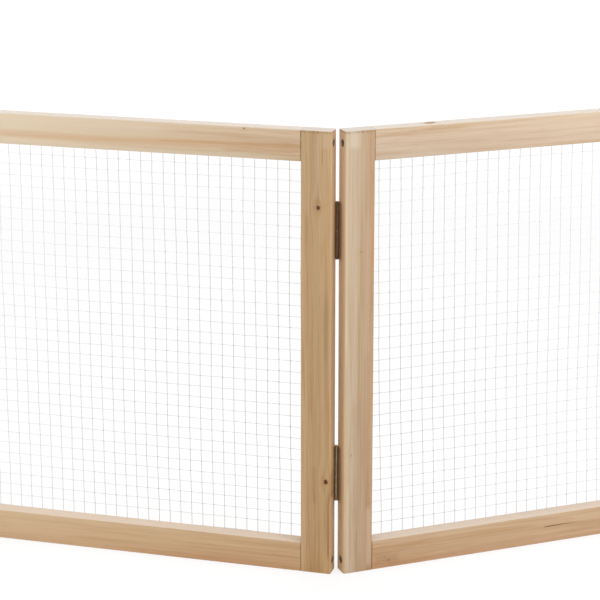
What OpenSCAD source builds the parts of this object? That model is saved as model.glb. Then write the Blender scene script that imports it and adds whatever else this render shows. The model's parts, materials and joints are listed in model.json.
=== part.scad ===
// Small-animal pen: a chain of four equal framed net panels.
// Two front panels meet at a shallow bend and a side panel runs back from each outer end.
// The origin is on the floor, at the middle of the pen's bounding box.
// +X runs to the right along the front, +Y runs from the front to the open back, +Z is up.

/* [Panel] */
// Length of one panel
panel_length = 800; // [500:10:1100]
// Height of one panel
panel_height = 500; // [400:10:700]
// Bend between the two front panels, in degrees away from a straight line
front_bend = 37; // [10:1:70]

/* [Frame bars] */
// Width of an upright bar across the panel
stile_width = 34; // [32:1:50]
// Height of a top or bottom bar
rail_height = 33.5; // [32:0.5:50]
// Thickness of every bar
bar_thickness = 18; // [16:1:24]
// Planed corner along every long edge of a bar
eased_edge = 0.6; // [0.5:0.1:1.5]

/* [Corner screws] */
// Length of the screw that holds an upright to a top or bottom bar
corner_screw_length = 60; // [50:1:70]
// Diameter of the screw's shank
corner_screw_d = 4; // [3.5:0.1:5]
// Diameter of the screw's head
corner_head_d = 8; // [7:0.1:9]
// Height of the screw's head
corner_head_height = 2.4; // [1.8:0.1:3]
// Depth of the counterbore in the upright's outer edge
counterbore_depth = 4; // [3.2:0.1:8]
// Distance from the bar's outer face to the screw's axis
corner_screw_inset = 14; // [12:0.5:17]

/* [Net] */
// Thickness of the net's wire
wire_d = 0.9; // [0.7:0.1:1.2]
// Distance between drawn upright wires, which are every fourth one of a half-inch net
upright_pitch = 51.9; // [50:0.1:77]
// Distance between drawn level wires, also every fourth one
level_pitch = 50.6; // [50:0.1:77]
// How far the net laps onto the bars
net_lap = 10; // [8:0.5:10]
// Distance from the net's left edge to its first drawn upright wire
first_upright = 10.7; // [8:0.1:14]
// Distance from the net's lower edge to its first drawn level wire
first_level = 11.3; // [8:0.1:14]

/* [Staples] */
// Width of a staple's crown
staple_width = 10; // [8:0.5:12]
// Thickness of the staple's wire
staple_wire = 1.2; // [0.9:0.1:1.4]
// Length of a staple's leg below the net
staple_leg = 9; // [7:0.5:12]
// Distance from the net's cut edge to the staple
staple_inset = 4; // [3:0.5:6]

/* [Hinges] */
// Height of a hinge leaf
leaf_height = 63.5; // [55:0.5:75]
// Width of a hinge leaf, from its inner edge to its outer edge
leaf_width = 18; // [15:0.5:19]
// Thickness of a leaf
leaf_thickness = 1.1; // [0.9:0.1:1.3]
// Diameter of the hinge pin where the other leaf turns on it
pin_d = 2.8; // [2.4:0.1:2.9]
// Diameter of the pin's shank, which is pressed into its own knuckle
shank_d = 3.2; // [3.1:0.1:3.4]
// How far the pin ends below the top of the hinge
pin_short = 5.5; // [3:0.5:12]
// Thickness of the washer between the two knuckles
washer_thickness = 0.5; // [0.4:0.1:0.8]
// Distance from the end of an upright to the middle of a hinge
hinge_middle = 112; // [95:1:140]
// Gap between two uprights in a straight line
panel_gap = 2; // [2:0.1:5]
// Countersunk screws in one leaf
screws_per_leaf = 3; // [2:1:3]
// Length of a leaf screw
leaf_screw_length = 13; // [10:1:14]
// Diameter of a leaf screw's shank
leaf_screw_d = 3; // [2.6:0.1:3.4]
// Diameter of a leaf screw's head
leaf_head_d = 5.8; // [5:0.1:6.4]

/* [Hidden] */
$fn = 48;
// Running clearance between pin and bore, all round
pin_clearance = 0.05;
// Squeeze of the pin's shank in the knuckle that holds it, all round
shank_squeeze = 0.02;
// Clearance of a screw or pin shank in a loose hole, all round
shank_clearance = 0.2;
// How much smaller than the shank a pilot hole is, all round
pilot_bite = 0.3;
// Taper at the upper end of a pin
pin_taper = 0.6;
// Gap between a leaf's inner edge and the other leaf's knuckle
knuckle_gap = 0.6;
// How far the knuckle stands past its leaf, on the side of the wood
knuckle_proud = 0.3;
// Clearance of a countersunk head in its seat
seat_clearance = 0.05;
// Cut corner of a leaf
leaf_corner = 2;
// Distance from a leaf's end to its end screws
leaf_screw_inset = 10;
// Every how many drawn wires a staple sits
staple_every = 2;
// Small overshoot for cuts
cut = 1;

pin_r = pin_d / 2;
shank_r = shank_d / 2;
bore_r = pin_r + pin_clearance;
knuckle_r = bore_r + leaf_thickness;
knuckle_height = (leaf_height - washer_thickness) / 2;
// Pin axis: behind the back face of the bars, and in the middle of the gap
axis_back = knuckle_r - knuckle_proud;
axis_out = panel_gap / 2;
axis_pitch = panel_length + panel_gap;
leaf_start = knuckle_r + knuckle_gap - axis_out;
leaf_screw_x = leaf_start + leaf_width / 2;
lower_hinge_z = hinge_middle - leaf_height / 2;
upper_hinge_z = panel_height - hinge_middle - leaf_height / 2;
hinge_levels = [lower_hinge_z, upper_hinge_z];

rail_length = panel_length - 2 * stile_width;
net_left = stile_width - net_lap;
net_right = panel_length - stile_width + net_lap;
net_bottom = rail_height - net_lap;
net_top = panel_height - rail_height + net_lap;
wire_zs = [for (z = [net_bottom + first_level : level_pitch : net_top - wire_d]) z];
corner_screw_zs = [corner_screw_inset, panel_height - corner_screw_inset];

// Places of the upright wires, in a net that was laid on its frame slip further to the right
function wire_xs(slip) = [for (x = [net_left + first_upright + slip : upright_pitch : net_right - wire_d]) x];

// Places of the panels: [angle, x and y of the pin axis at the panel's left end]
half_bend = front_bend / 2;
front_x = axis_pitch * cos(half_bend);
front_y = axis_pitch * sin(half_bend);
// Furthest points of the pen to the front and to the back of the middle hinge
front_reach = (axis_back + bar_thickness - eased_edge) * cos(half_bend) - axis_out * sin(half_bend);
front_edge_reach = (axis_back + bar_thickness) * cos(half_bend) - (axis_out + eased_edge) * sin(half_bend);
back_reach = front_y + axis_pitch + knuckle_r;
shift_y = (max(front_reach, front_edge_reach) - back_reach) / 2;

// How far each net was slipped along its frame before it was stapled
LEFT_FRONT_SLIP = 0.3;
RIGHT_FRONT_SLIP = 0;
LEFT_SIDE_SLIP = 1.6;
RIGHT_SIDE_SLIP = 2.8;

LEFT_FRONT = [-half_bend, -front_x, front_y + shift_y];
RIGHT_FRONT = [half_bend, 0, shift_y];
LEFT_SIDE = [-90, -front_x, front_y + axis_pitch + shift_y];
RIGHT_SIDE = [90, front_x, front_y + shift_y];

WOOD = "#d9bd94";
ZINC = "#b9bcbd";
BRONZE = "#5c4a38";
BRASS = "#b08d4f";

// Puts a panel in its place. In a panel's own frame x runs along it from the left end,
// y = 0 is its back face with the wood on the -y side, and z = 0 is the floor.
module place(panel) {
    translate([panel[1], panel[2], 0])
        rotate(panel[0])
            translate([axis_out, -axis_back, 0])
                children();
}

// Turns what is drawn for the left end of a panel round to its right end
module at_end(right) {
    translate([right ? panel_length : 0, 0, 0])
        mirror([right ? 1 : 0, 0, 0])
            children();
}

// Section of a bar, with its four corners eased
function bar_section(width, depth, e) = [
    [e, 0], [width - e, 0], [width, e], [width, depth - e],
    [width - e, depth], [e, depth], [0, depth - e], [0, e]
];

// Upright bar with its counterbored corner screw holes and the pilot holes of its two leaves
module stile(right) {
    color(WOOD)
        at_end(right)
            difference() {
                translate([0, -bar_thickness, 0])
                    linear_extrude(panel_height)
                        polygon(bar_section(stile_width, bar_thickness, eased_edge));
                for (z = corner_screw_zs)
                    translate([0, -bar_thickness / 2, z])
                        rotate([0, 90, 0]) {
                            translate([0, 0, -cut])
                                cylinder(d = corner_screw_d + 2 * shank_clearance, h = stile_width + 2 * cut);
                            translate([0, 0, -cut])
                                cylinder(d = corner_head_d + 2 * shank_clearance, h = counterbore_depth + cut);
                        }
                for (z = hinge_levels)
                    leaf_screw_places(z)
                        pilot_hole();
            }
}

// Top or bottom bar, whose pilot holes take the corner screws in its end grain
module rail(z) {
    color(WOOD)
        difference() {
            translate([stile_width, -bar_thickness, z])
                rotate([90, 0, 90])
                    linear_extrude(rail_length)
                        polygon(bar_section(bar_thickness, rail_height, eased_edge));
            for (right = [false, true], screw_z = corner_screw_zs)
                at_end(right)
                    translate([stile_width - cut, -bar_thickness / 2, screw_z])
                        rotate([0, 90, 0])
                            cylinder(d = corner_screw_d - 2 * pilot_bite, h = corner_pilot_depth() + cut);
        }
}

function corner_pilot_depth() = counterbore_depth + corner_screw_length - stile_width;

module top_rail() {
    rail(panel_height - rail_height);
}

module bottom_rail() {
    rail(0);
}

// Welded net: upright wires against the wood, and level wires behind them
module net(slip) {
    color(ZINC)
        union() {
            for (x = wire_xs(slip))
                translate([x - wire_d / 2, 0, net_bottom])
                    cube([wire_d, wire_d, net_top - net_bottom]);
            for (z = wire_zs)
                translate([net_left, wire_d, z - wire_d / 2])
                    cube([net_right - net_left, wire_d, wire_d]);
        }
}

// One staple across the origin: its crown lies along x at height seat, and its legs go into -y
module staple(seat) {
    union() {
        translate([-staple_width / 2, seat, -staple_wire / 2])
            cube([staple_width, staple_wire, staple_wire]);
        for (side = [-1, 1])
            translate([side * (staple_width - staple_wire) / 2 - staple_wire / 2, -staple_leg, -staple_wire / 2])
                cube([staple_wire, staple_leg + seat + staple_wire / 2, staple_wire]);
    }
}

// Staples of one net: over upright wires on the rails, over level wires on the stiles
module staples(slip) {
    xs = wire_xs(slip);
    color(ZINC) {
        for (i = [0 : staple_every : len(xs) - 1], z = [net_bottom + staple_inset, net_top - staple_inset])
            translate([xs[i], 0, z])
                staple(wire_d);
        for (i = [1 : staple_every : len(wire_zs) - 1], x = [net_left + staple_inset, net_right - staple_inset])
            translate([x, 0, wire_zs[i]])
                rotate([0, 90, 0])
                    staple(2 * wire_d);
    }
}

// Outline of a flat-seated screw turned about z: the seat at z = 0, the shank below it
function seated_screw(head_d, head_h, shank_d, length) = [
    [0, -length], [shank_d / 2, shank_d - length], [shank_d / 2, 0], [head_d / 2, 0],
    [head_d / 2, head_h * 0.5], [head_d * 0.35, head_h], [0, head_h]
];

// Four screws that hold the uprights to the rails
module corner_screws() {
    color(ZINC)
        for (right = [false, true], z = corner_screw_zs)
            at_end(right)
                translate([counterbore_depth, -bar_thickness / 2, z])
                    rotate([0, -90, 0])
                        rotate_extrude()
                            polygon(seated_screw(corner_head_d, corner_head_height, corner_screw_d, corner_screw_length));
}

// Places of the screws of the leaf whose lower end is at z, with y as the screw's axis
module leaf_screw_places(z) {
    step = (leaf_height - 2 * leaf_screw_inset) / (screws_per_leaf - 1);
    for (i = [0 : screws_per_leaf - 1])
        translate([leaf_screw_x, 0, z + leaf_screw_inset + i * step])
            rotate([-90, 0, 0])
                children();
}

module pilot_hole() {
    translate([0, 0, -leaf_screw_length - cut])
        cylinder(d = leaf_screw_d - 2 * pilot_bite, h = leaf_screw_length + 2 * cut);
}

// Countersunk seat in a leaf, with its cone down to the shank's hole
module countersink() {
    hole_r = leaf_screw_d / 2 + shank_clearance;
    head_r = leaf_head_d / 2 + seat_clearance;
    translate([0, 0, -cut])
        cylinder(r = hole_r, h = leaf_thickness + 2 * cut);
    translate([0, 0, leaf_thickness - (head_r - hole_r)])
        cylinder(r1 = hole_r, r2 = head_r + cut, h = head_r - hole_r + cut);
}

// Outline of a countersunk screw turned about z, with its flat head at the leaf's back face
function countersunk_screw() = let (r = leaf_screw_d / 2, head_r = leaf_head_d / 2) [
    [0, leaf_thickness - leaf_screw_length], [r, leaf_thickness - leaf_screw_length + leaf_screw_d],
    [r, leaf_thickness - (head_r - r)], [head_r, leaf_thickness], [0, leaf_thickness]
];

// Screws of the four leaves of one panel
module leaf_screws() {
    color(BRONZE)
        for (right = [false, true], z = hinge_levels)
            at_end(right)
                leaf_screw_places(z)
                    rotate_extrude()
                        polygon(countersunk_screw());
}

// Plate of a leaf for the left end, seen from behind, with its outer corners cut
function leaf_outline() = [
    [leaf_start, 0], [leaf_start + leaf_width - leaf_corner, 0], [leaf_start + leaf_width, leaf_corner],
    [leaf_start + leaf_width, leaf_height - leaf_corner],
    [leaf_start + leaf_width - leaf_corner, leaf_height], [leaf_start, leaf_height]
];

// Hinge leaf on the back face, with the knuckle rolled from it at height knuckle_z
module leaf(z, knuckle_z, hole_r) {
    color(BRONZE)
        difference() {
            union() {
                translate([0, leaf_thickness, z])
                    rotate([90, 0, 0])
                        linear_extrude(leaf_thickness)
                            polygon(leaf_outline());
                translate([-axis_out, 0, knuckle_z])
                    cube([leaf_start + axis_out + cut, leaf_thickness, knuckle_height]);
                translate([-axis_out, axis_back, knuckle_z])
                    cylinder(r = knuckle_r, h = knuckle_height);
            }
            translate([-axis_out, axis_back, knuckle_z - cut])
                cylinder(r = hole_r, h = knuckle_height + 2 * cut);
            leaf_screw_places(z)
                countersink();
        }
}

// The left end of a panel carries the pins, in the lower half of each hinge
module pin_leaf(z) {
    leaf(z, z, shank_r - shank_squeeze);
}

// The right end carries the sockets that lift off the pins, in the upper half
module socket_leaf(z) {
    at_end(true)
        leaf(z, z + leaf_height - knuckle_height, bore_r);
}

// Pins, whose shank is pressed into the lower knuckle and whose upper end is tapered
module hinge_pins() {
    shoulder = knuckle_height + washer_thickness;
    pin_length = leaf_height - pin_short;
    color(BRONZE)
        for (z = hinge_levels)
            translate([-axis_out, axis_back, z])
                rotate_extrude()
                    polygon([
                        [0, 0], [shank_r, 0], [shank_r, shoulder], [pin_r, shoulder],
                        [pin_r, pin_length - pin_taper], [pin_r - pin_taper, pin_length], [0, pin_length]
                    ]);
}

// Washers round the shoulders of the pins, which carry the upper knuckles
module hinge_washers() {
    color(BRASS)
        for (z = hinge_levels)
            translate([-axis_out, axis_back, z + knuckle_height])
                difference() {
                    cylinder(r = knuckle_r, h = washer_thickness);
                    translate([0, 0, -cut])
                        cylinder(r = shank_r + shank_clearance, h = washer_thickness + 2 * cut);
                }
}

// Left front panel
module left_front_pin_stile() { place(LEFT_FRONT) stile(false); }
module left_front_socket_stile() { place(LEFT_FRONT) stile(true); }
module left_front_top_rail() { place(LEFT_FRONT) top_rail(); }
module left_front_bottom_rail() { place(LEFT_FRONT) bottom_rail(); }
module left_front_net() { place(LEFT_FRONT) net(LEFT_FRONT_SLIP); }
module left_front_staples() { place(LEFT_FRONT) staples(LEFT_FRONT_SLIP); }
module left_front_corner_screws() { place(LEFT_FRONT) corner_screws(); }
module left_front_upper_pin_leaf() { place(LEFT_FRONT) pin_leaf(upper_hinge_z); }
module left_front_lower_pin_leaf() { place(LEFT_FRONT) pin_leaf(lower_hinge_z); }
module left_front_upper_socket_leaf() { place(LEFT_FRONT) socket_leaf(upper_hinge_z); }
module left_front_lower_socket_leaf() { place(LEFT_FRONT) socket_leaf(lower_hinge_z); }
module left_front_hinge_pins() { place(LEFT_FRONT) hinge_pins(); }
module left_front_hinge_washers() { place(LEFT_FRONT) hinge_washers(); }
module left_front_leaf_screws() { place(LEFT_FRONT) leaf_screws(); }

// Right front panel
module right_front_pin_stile() { place(RIGHT_FRONT) stile(false); }
module right_front_socket_stile() { place(RIGHT_FRONT) stile(true); }
module right_front_top_rail() { place(RIGHT_FRONT) top_rail(); }
module right_front_bottom_rail() { place(RIGHT_FRONT) bottom_rail(); }
module right_front_net() { place(RIGHT_FRONT) net(RIGHT_FRONT_SLIP); }
module right_front_staples() { place(RIGHT_FRONT) staples(RIGHT_FRONT_SLIP); }
module right_front_corner_screws() { place(RIGHT_FRONT) corner_screws(); }
module right_front_upper_pin_leaf() { place(RIGHT_FRONT) pin_leaf(upper_hinge_z); }
module right_front_lower_pin_leaf() { place(RIGHT_FRONT) pin_leaf(lower_hinge_z); }
module right_front_upper_socket_leaf() { place(RIGHT_FRONT) socket_leaf(upper_hinge_z); }
module right_front_lower_socket_leaf() { place(RIGHT_FRONT) socket_leaf(lower_hinge_z); }
module right_front_hinge_pins() { place(RIGHT_FRONT) hinge_pins(); }
module right_front_hinge_washers() { place(RIGHT_FRONT) hinge_washers(); }
module right_front_leaf_screws() { place(RIGHT_FRONT) leaf_screws(); }

// Left side panel
module left_side_pin_stile() { place(LEFT_SIDE) stile(false); }
module left_side_socket_stile() { place(LEFT_SIDE) stile(true); }
module left_side_top_rail() { place(LEFT_SIDE) top_rail(); }
module left_side_bottom_rail() { place(LEFT_SIDE) bottom_rail(); }
module left_side_net() { place(LEFT_SIDE) net(LEFT_SIDE_SLIP); }
module left_side_staples() { place(LEFT_SIDE) staples(LEFT_SIDE_SLIP); }
module left_side_corner_screws() { place(LEFT_SIDE) corner_screws(); }
module left_side_upper_pin_leaf() { place(LEFT_SIDE) pin_leaf(upper_hinge_z); }
module left_side_lower_pin_leaf() { place(LEFT_SIDE) pin_leaf(lower_hinge_z); }
module left_side_upper_socket_leaf() { place(LEFT_SIDE) socket_leaf(upper_hinge_z); }
module left_side_lower_socket_leaf() { place(LEFT_SIDE) socket_leaf(lower_hinge_z); }
module left_side_hinge_pins() { place(LEFT_SIDE) hinge_pins(); }
module left_side_hinge_washers() { place(LEFT_SIDE) hinge_washers(); }
module left_side_leaf_screws() { place(LEFT_SIDE) leaf_screws(); }

// Right side panel
module right_side_pin_stile() { place(RIGHT_SIDE) stile(false); }
module right_side_socket_stile() { place(RIGHT_SIDE) stile(true); }
module right_side_top_rail() { place(RIGHT_SIDE) top_rail(); }
module right_side_bottom_rail() { place(RIGHT_SIDE) bottom_rail(); }
module right_side_net() { place(RIGHT_SIDE) net(RIGHT_SIDE_SLIP); }
module right_side_staples() { place(RIGHT_SIDE) staples(RIGHT_SIDE_SLIP); }
module right_side_corner_screws() { place(RIGHT_SIDE) corner_screws(); }
module right_side_upper_pin_leaf() { place(RIGHT_SIDE) pin_leaf(upper_hinge_z); }
module right_side_lower_pin_leaf() { place(RIGHT_SIDE) pin_leaf(lower_hinge_z); }
module right_side_upper_socket_leaf() { place(RIGHT_SIDE) socket_leaf(upper_hinge_z); }
module right_side_lower_socket_leaf() { place(RIGHT_SIDE) socket_leaf(lower_hinge_z); }
module right_side_hinge_pins() { place(RIGHT_SIDE) hinge_pins(); }
module right_side_hinge_washers() { place(RIGHT_SIDE) hinge_washers(); }
module right_side_leaf_screws() { place(RIGHT_SIDE) leaf_screws(); }

left_front_pin_stile();
left_front_socket_stile();
left_front_top_rail();
left_front_bottom_rail();
left_front_net();
left_front_staples();
left_front_corner_screws();
left_front_upper_pin_leaf();
left_front_lower_pin_leaf();
left_front_upper_socket_leaf();
left_front_lower_socket_leaf();
left_front_hinge_pins();
left_front_hinge_washers();
left_front_leaf_screws();
right_front_pin_stile();
right_front_socket_stile();
right_front_top_rail();
right_front_bottom_rail();
right_front_net();
right_front_staples();
right_front_corner_screws();
right_front_upper_pin_leaf();
right_front_lower_pin_leaf();
right_front_upper_socket_leaf();
right_front_lower_socket_leaf();
right_front_hinge_pins();
right_front_hinge_washers();
right_front_leaf_screws();
left_side_pin_stile();
left_side_socket_stile();
left_side_top_rail();
left_side_bottom_rail();
left_side_net();
left_side_staples();
left_side_corner_screws();
left_side_upper_pin_leaf();
left_side_lower_pin_leaf();
left_side_upper_socket_leaf();
left_side_lower_socket_leaf();
left_side_hinge_pins();
left_side_hinge_washers();
left_side_leaf_screws();
right_side_pin_stile();
right_side_socket_stile();
right_side_top_rail();
right_side_bottom_rail();
right_side_net();
right_side_staples();
right_side_corner_screws();
right_side_upper_pin_leaf();
right_side_lower_pin_leaf();
right_side_upper_socket_leaf();
right_side_lower_socket_leaf();
right_side_hinge_pins();
right_side_hinge_washers();
right_side_leaf_screws();
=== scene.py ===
import json
import math
import random

import bmesh
import bpy
from mathutils import Matrix, Vector, noise


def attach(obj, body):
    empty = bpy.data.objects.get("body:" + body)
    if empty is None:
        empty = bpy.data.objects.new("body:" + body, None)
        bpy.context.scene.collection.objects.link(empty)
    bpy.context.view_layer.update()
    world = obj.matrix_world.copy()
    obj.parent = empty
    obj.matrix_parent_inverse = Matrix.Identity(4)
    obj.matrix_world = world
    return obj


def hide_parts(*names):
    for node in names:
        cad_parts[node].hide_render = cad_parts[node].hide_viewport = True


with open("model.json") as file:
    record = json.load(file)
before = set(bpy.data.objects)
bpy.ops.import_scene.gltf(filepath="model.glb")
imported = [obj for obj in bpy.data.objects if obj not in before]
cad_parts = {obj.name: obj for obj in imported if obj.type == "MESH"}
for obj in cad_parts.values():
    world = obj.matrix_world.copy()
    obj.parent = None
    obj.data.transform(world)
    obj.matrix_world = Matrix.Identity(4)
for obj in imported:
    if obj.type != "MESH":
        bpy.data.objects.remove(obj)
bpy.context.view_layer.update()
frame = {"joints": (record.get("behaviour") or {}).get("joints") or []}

# Camera
# A long lens from about two and a half metres, looking down at the corner where the two front
# panels meet. The picture is a part of a larger frame, so the lens is shifted down.
PICTURE_PIXELS = 600
FOCAL_PIXELS = 2144.2
SHIFT_PIXELS = 90
SENSOR_WIDTH = 36
LENS_PLACE = (-0.14714, -2.74935, 0.94839)
LENS_DOWN = 13.54
LENS_RIGHT = 2.753
camera = bpy.data.objects.new("camera", bpy.data.cameras.new("camera"))
bpy.context.scene.collection.objects.link(camera)
camera.data.sensor_width = SENSOR_WIDTH
camera.data.lens = FOCAL_PIXELS / PICTURE_PIXELS * SENSOR_WIDTH
camera.data.shift_y = -SHIFT_PIXELS / PICTURE_PIXELS
camera.location = LENS_PLACE
camera.rotation_euler = (math.radians(90 - LENS_DOWN), 0, math.radians(-LENS_RIGHT))
bpy.context.scene.camera = camera

# Studio
# A plain white sweep of floor under soft, even light. A large softbox stands to the right and in
# front of the pen, and a second one hangs over it, so that what faces up is the palest.
AMBIENT = 0.56
WHITE = (1, 1, 1, 1)
SWEEP_WHITE = (0.93, 0.93, 0.93, 1)
SWEEP_HALF = 14
SWEEP_LEVEL = -0.0002
GLOW_STRENGTH = 1.08
# Where the sweep's own glow starts to grow with the distance from the pen and where it is full,
# and its shares there, so that the pen still has a shadow to stand on
GLOW_START, GLOW_END = 0.9, 2.4
GLOW_NEAR, GLOW_FAR = 0.7, 1.0
# Each lamp's name, place, aim, width and power
LAMPS = [
    ("softbox_right", (1.3, -1.7, 1.5), (0.0, -0.45, 0.35), 1.2, 13.0),
    ("softbox_over", (0.0, -0.3, 2.4), (0.0, -0.2, 0.3), 2.0, 21.0),
]
bpy.context.scene.view_settings.view_transform = "Standard"


def put(tree, kind, inputs=(), **settings):
    """Adds a shader node, with its settings, and fills or links its inputs by name or order."""
    node = tree.nodes.new("ShaderNode" + kind)
    for setting, value in settings.items():
        setattr(node, setting, value)
    for key, value in inputs.items() if isinstance(inputs, dict) else enumerate(inputs):
        if isinstance(value, bpy.types.NodeSocket):
            tree.links.new(value, node.inputs[key])
        else:
            node.inputs[key].default_value = value
    return node


def calc(tree, operation, *values):
    """One step of arithmetic on shader values."""
    return put(tree, "Math", values, operation=operation).outputs[0]


def times(tree, product, *factors):
    """Shader values multiplied, from the first to the last."""
    for factor in factors:
        product = calc(tree, "MULTIPLY", product, factor)
    return product


def ramp(tree, value, low, high, start=0.0, end=1.0):
    """Smooth step of a value from start, at low, to end, at high."""
    values = {"Value": value, "From Min": low, "From Max": high, "To Min": start, "To Max": end}
    return put(tree, "MapRange", values, interpolation_type="SMOOTHSTEP").outputs[0]


def length_of(tree, vector):
    """How long a vector is."""
    return put(tree, "VectorMath", [vector], operation="LENGTH").outputs["Value"]


def seen_directly(tree):
    """1 for what the camera, a gloss or a clear surface looks at, 0 for light that falls."""
    path = put(tree, "LightPath").outputs
    looked_at = calc(tree, "MAXIMUM", path["Is Camera Ray"], path["Is Glossy Ray"])
    return calc(tree, "MAXIMUM", looked_at, path["Is Transmission Ray"])


world = bpy.data.worlds.new("studio_air")
bpy.context.scene.world = world
world.use_nodes = True
air = world.node_tree
air.nodes["Background"].inputs["Color"].default_value = WHITE
air_strength = calc(air, "MULTIPLY_ADD", seen_directly(air), 1 - AMBIENT, AMBIENT)
air.links.new(air_strength, air.nodes["Background"].inputs["Strength"])

sweep_paint = bpy.data.materials.new("white_sweep")
sweep_paint.use_nodes = True
paint = sweep_paint.node_tree
paint.nodes.clear()
matt = put(paint, "BsdfDiffuse", {"Color": SWEEP_WHITE}).outputs[0]
glow = put(paint, "Emission", {"Color": WHITE, "Strength": GLOW_STRENGTH}).outputs[0]
from_pen = length_of(paint, put(paint, "TexCoord").outputs["Object"])
spread = ramp(paint, from_pen, GLOW_START, GLOW_END, GLOW_NEAR, GLOW_FAR)
glow_share = times(paint, seen_directly(paint), spread)
laid = put(paint, "MixShader", [glow_share, matt, glow]).outputs[0]
put(paint, "OutputMaterial", {"Surface": laid})

sweep = bmesh.new()
bmesh.ops.create_grid(sweep, x_segments=1, y_segments=1, size=SWEEP_HALF)
sweep_mesh = bpy.data.meshes.new("floor_sweep")
sweep.to_mesh(sweep_mesh)
sweep.free()
sweep_mesh.materials.append(sweep_paint)
floor_sweep = bpy.data.objects.new("floor_sweep", sweep_mesh)
bpy.context.scene.collection.objects.link(floor_sweep)
floor_sweep.location.z = SWEEP_LEVEL

for lamp_name, lamp_place, aim, size, power in LAMPS:
    lamp = bpy.data.objects.new(lamp_name, bpy.data.lights.new(lamp_name, "AREA"))
    bpy.context.scene.collection.objects.link(lamp)
    lamp.data.shape = "DISK"
    lamp.data.size = size
    lamp.data.energy = power
    lamp.location = lamp_place
    lamp.rotation_euler = (Vector(aim) - Vector(lamp_place)).to_track_quat("-Z", "Y").to_euler()

# Wooden bars
# Two uprights and two rails to a panel, planed from pale softwood and left bare, with their long
# edges rubbed round. The rails butt against the uprights, and the corner screws are driven
# through counterbores in the uprights' outer edges.
MM = 0.001
PANEL_LENGTH = 800
PANEL_HEIGHT = 500
UPRIGHT_WIDTH = 34
RAIL_HEIGHT = 33.5
RAIL_LENGTH = PANEL_LENGTH - 2 * UPRIGHT_WIDTH
# The photographed rails left the planer a little deeper than the CAD's
PLANED_RAIL = RAIL_HEIGHT + 0.7
BAR_THICKNESS = 18
BAR_STEP = 24
ARRIS = 0.5
FRONT_ARRIS = 0.8
UNEVEN_ARRIS = 0.3
SAWN_EDGE = 0.35
SEAM_WIDTH = 0.9
COUNTERBORE_RADIUS = 4.2
COUNTERBORE_DEPTH = 4
COUNTERBORE_WEAR = 0.5
CORNER_SCREW_INSET = 14
LEAF_HEIGHT = 63.5
HINGE_MIDDLE = 112
# The hinges' axes stand beyond a panel's two ends and behind its back
AXIS_OUT = 1.0
AXIS_BACK = 2.25
AXIS_PITCH = PANEL_LENGTH + 2 * AXIS_OUT

# Shades of the wood and of its marks, in steps of 0 to 255
LATE_WOOD = (222, 197, 158)
DARK_STREAK = (238, 224, 205)
PALE_STREAK = (255, 244, 226)
FIBRE = (232, 216, 196)
KNOT_HALO = (226, 190, 150)
KNOT_HEART = (84, 42, 12)
PALE_KNOT_HEART = (148, 104, 54)
RESIN = (112, 72, 36)
SAWN_END = (226, 206, 178)
SEAM_SHADOW = (92, 58, 38)
# Painted shade on an upright's edge face beside the hinge knuckles
HINGE_SMUT = (92, 64, 42)
# Painted shade in the counterbores' walls and mouths, over their darker end grain
SCREW_BURN = (122, 106, 90)
TORN_FIBRES = (150, 104, 58)
# Paler wood towards one end of a bar, together with painted light
SUN_FADED = (250, 226, 192)

hinge_axis = {joint["name"]: Vector(joint["pos_m"]) / MM for joint in frame["joints"]}
left_corner, right_corner = hinge_axis["left_corner_hinge"], hinge_axis["right_corner_hinge"]
half_bend = math.degrees(math.asin((left_corner.y - hinge_axis["middle_hinge"].y) / AXIS_PITCH))
# How far each panel is turned about z, and where the axis at its left end stands
PANELS = {
    "left_front": (-half_bend, left_corner.x, left_corner.y),
    "right_front": (half_bend, hinge_axis["middle_hinge"].x, hinge_axis["middle_hinge"].y),
    "left_side": (-90, left_corner.x, left_corner.y + AXIS_PITCH),
    "right_side": (90, right_corner.x, right_corner.y),
}


def panel_place(panel):
    """From a panel's own frame to the pen's, in millimetres: x along it, its wood at -y, z up."""
    angle, x, y = PANELS[panel]
    turn = Matrix.Rotation(math.radians(angle), 4, "Z")
    return Matrix.Translation((x, y, 0)) @ turn @ Matrix.Translation((AXIS_OUT, -AXIS_BACK, 0))


def tint(red, green, blue):
    """Linear colour of a shade given in steps of 0 to 255."""
    return tuple(((step / 255 + 0.055) / 1.055) ** 2.4 for step in (red, green, blue)) + (1.0,)


def mixed(tree, mask, under, over, how="MIX"):
    """A colour laid over another where the mask is 1. Each is a socket or a shade."""
    inputs = {0: mask}
    for key, colour in ((6, under), (7, over)):
        inputs[key] = colour if isinstance(colour, bpy.types.NodeSocket) else tint(*colour)
    return put(tree, "Mix", inputs, data_type="RGBA", blend_type=how).outputs[2]


def marked(tree, colour, group, values, shades):
    """A colour with the marks of a node group on it, each of its masks in its own shade."""
    masks = put(tree, "Group", values, node_tree=group).outputs
    for mask, shade in shades.items():
        colour = mixed(tree, masks[mask], colour, shade)
    return colour


def by_parts(tree, vector, parts, operation="MULTIPLY"):
    """Arithmetic on each part of a vector."""
    return put(tree, "VectorMath", [vector, parts], operation=operation).outputs[0]


def parts_of(tree, vector):
    """The x, y and z of a vector."""
    return put(tree, "SeparateXYZ", [vector]).outputs


def cloud(tree, place, stretch, detail=2.0, roughness=0.5):
    """Soft noise from 0 to 1. stretch is its cells to a millimetre along x, y and z."""
    where = by_parts(tree, place, stretch)
    values = {"Vector": where, "Scale": 1.0, "Detail": detail, "Roughness": roughness}
    return put(tree, "TexNoise", values).outputs[0]


def effect(name, takes):
    """Starts a node group with named inputs of these kinds, and returns it and what it takes."""
    group = bpy.data.node_groups.new(name, "ShaderNodeTree")
    for socket, kind in takes.items():
        group.interface.new_socket(name=socket, in_out="INPUT", socket_type="NodeSocket" + kind)
    return group, group.nodes.new("NodeGroupInput").outputs


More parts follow.
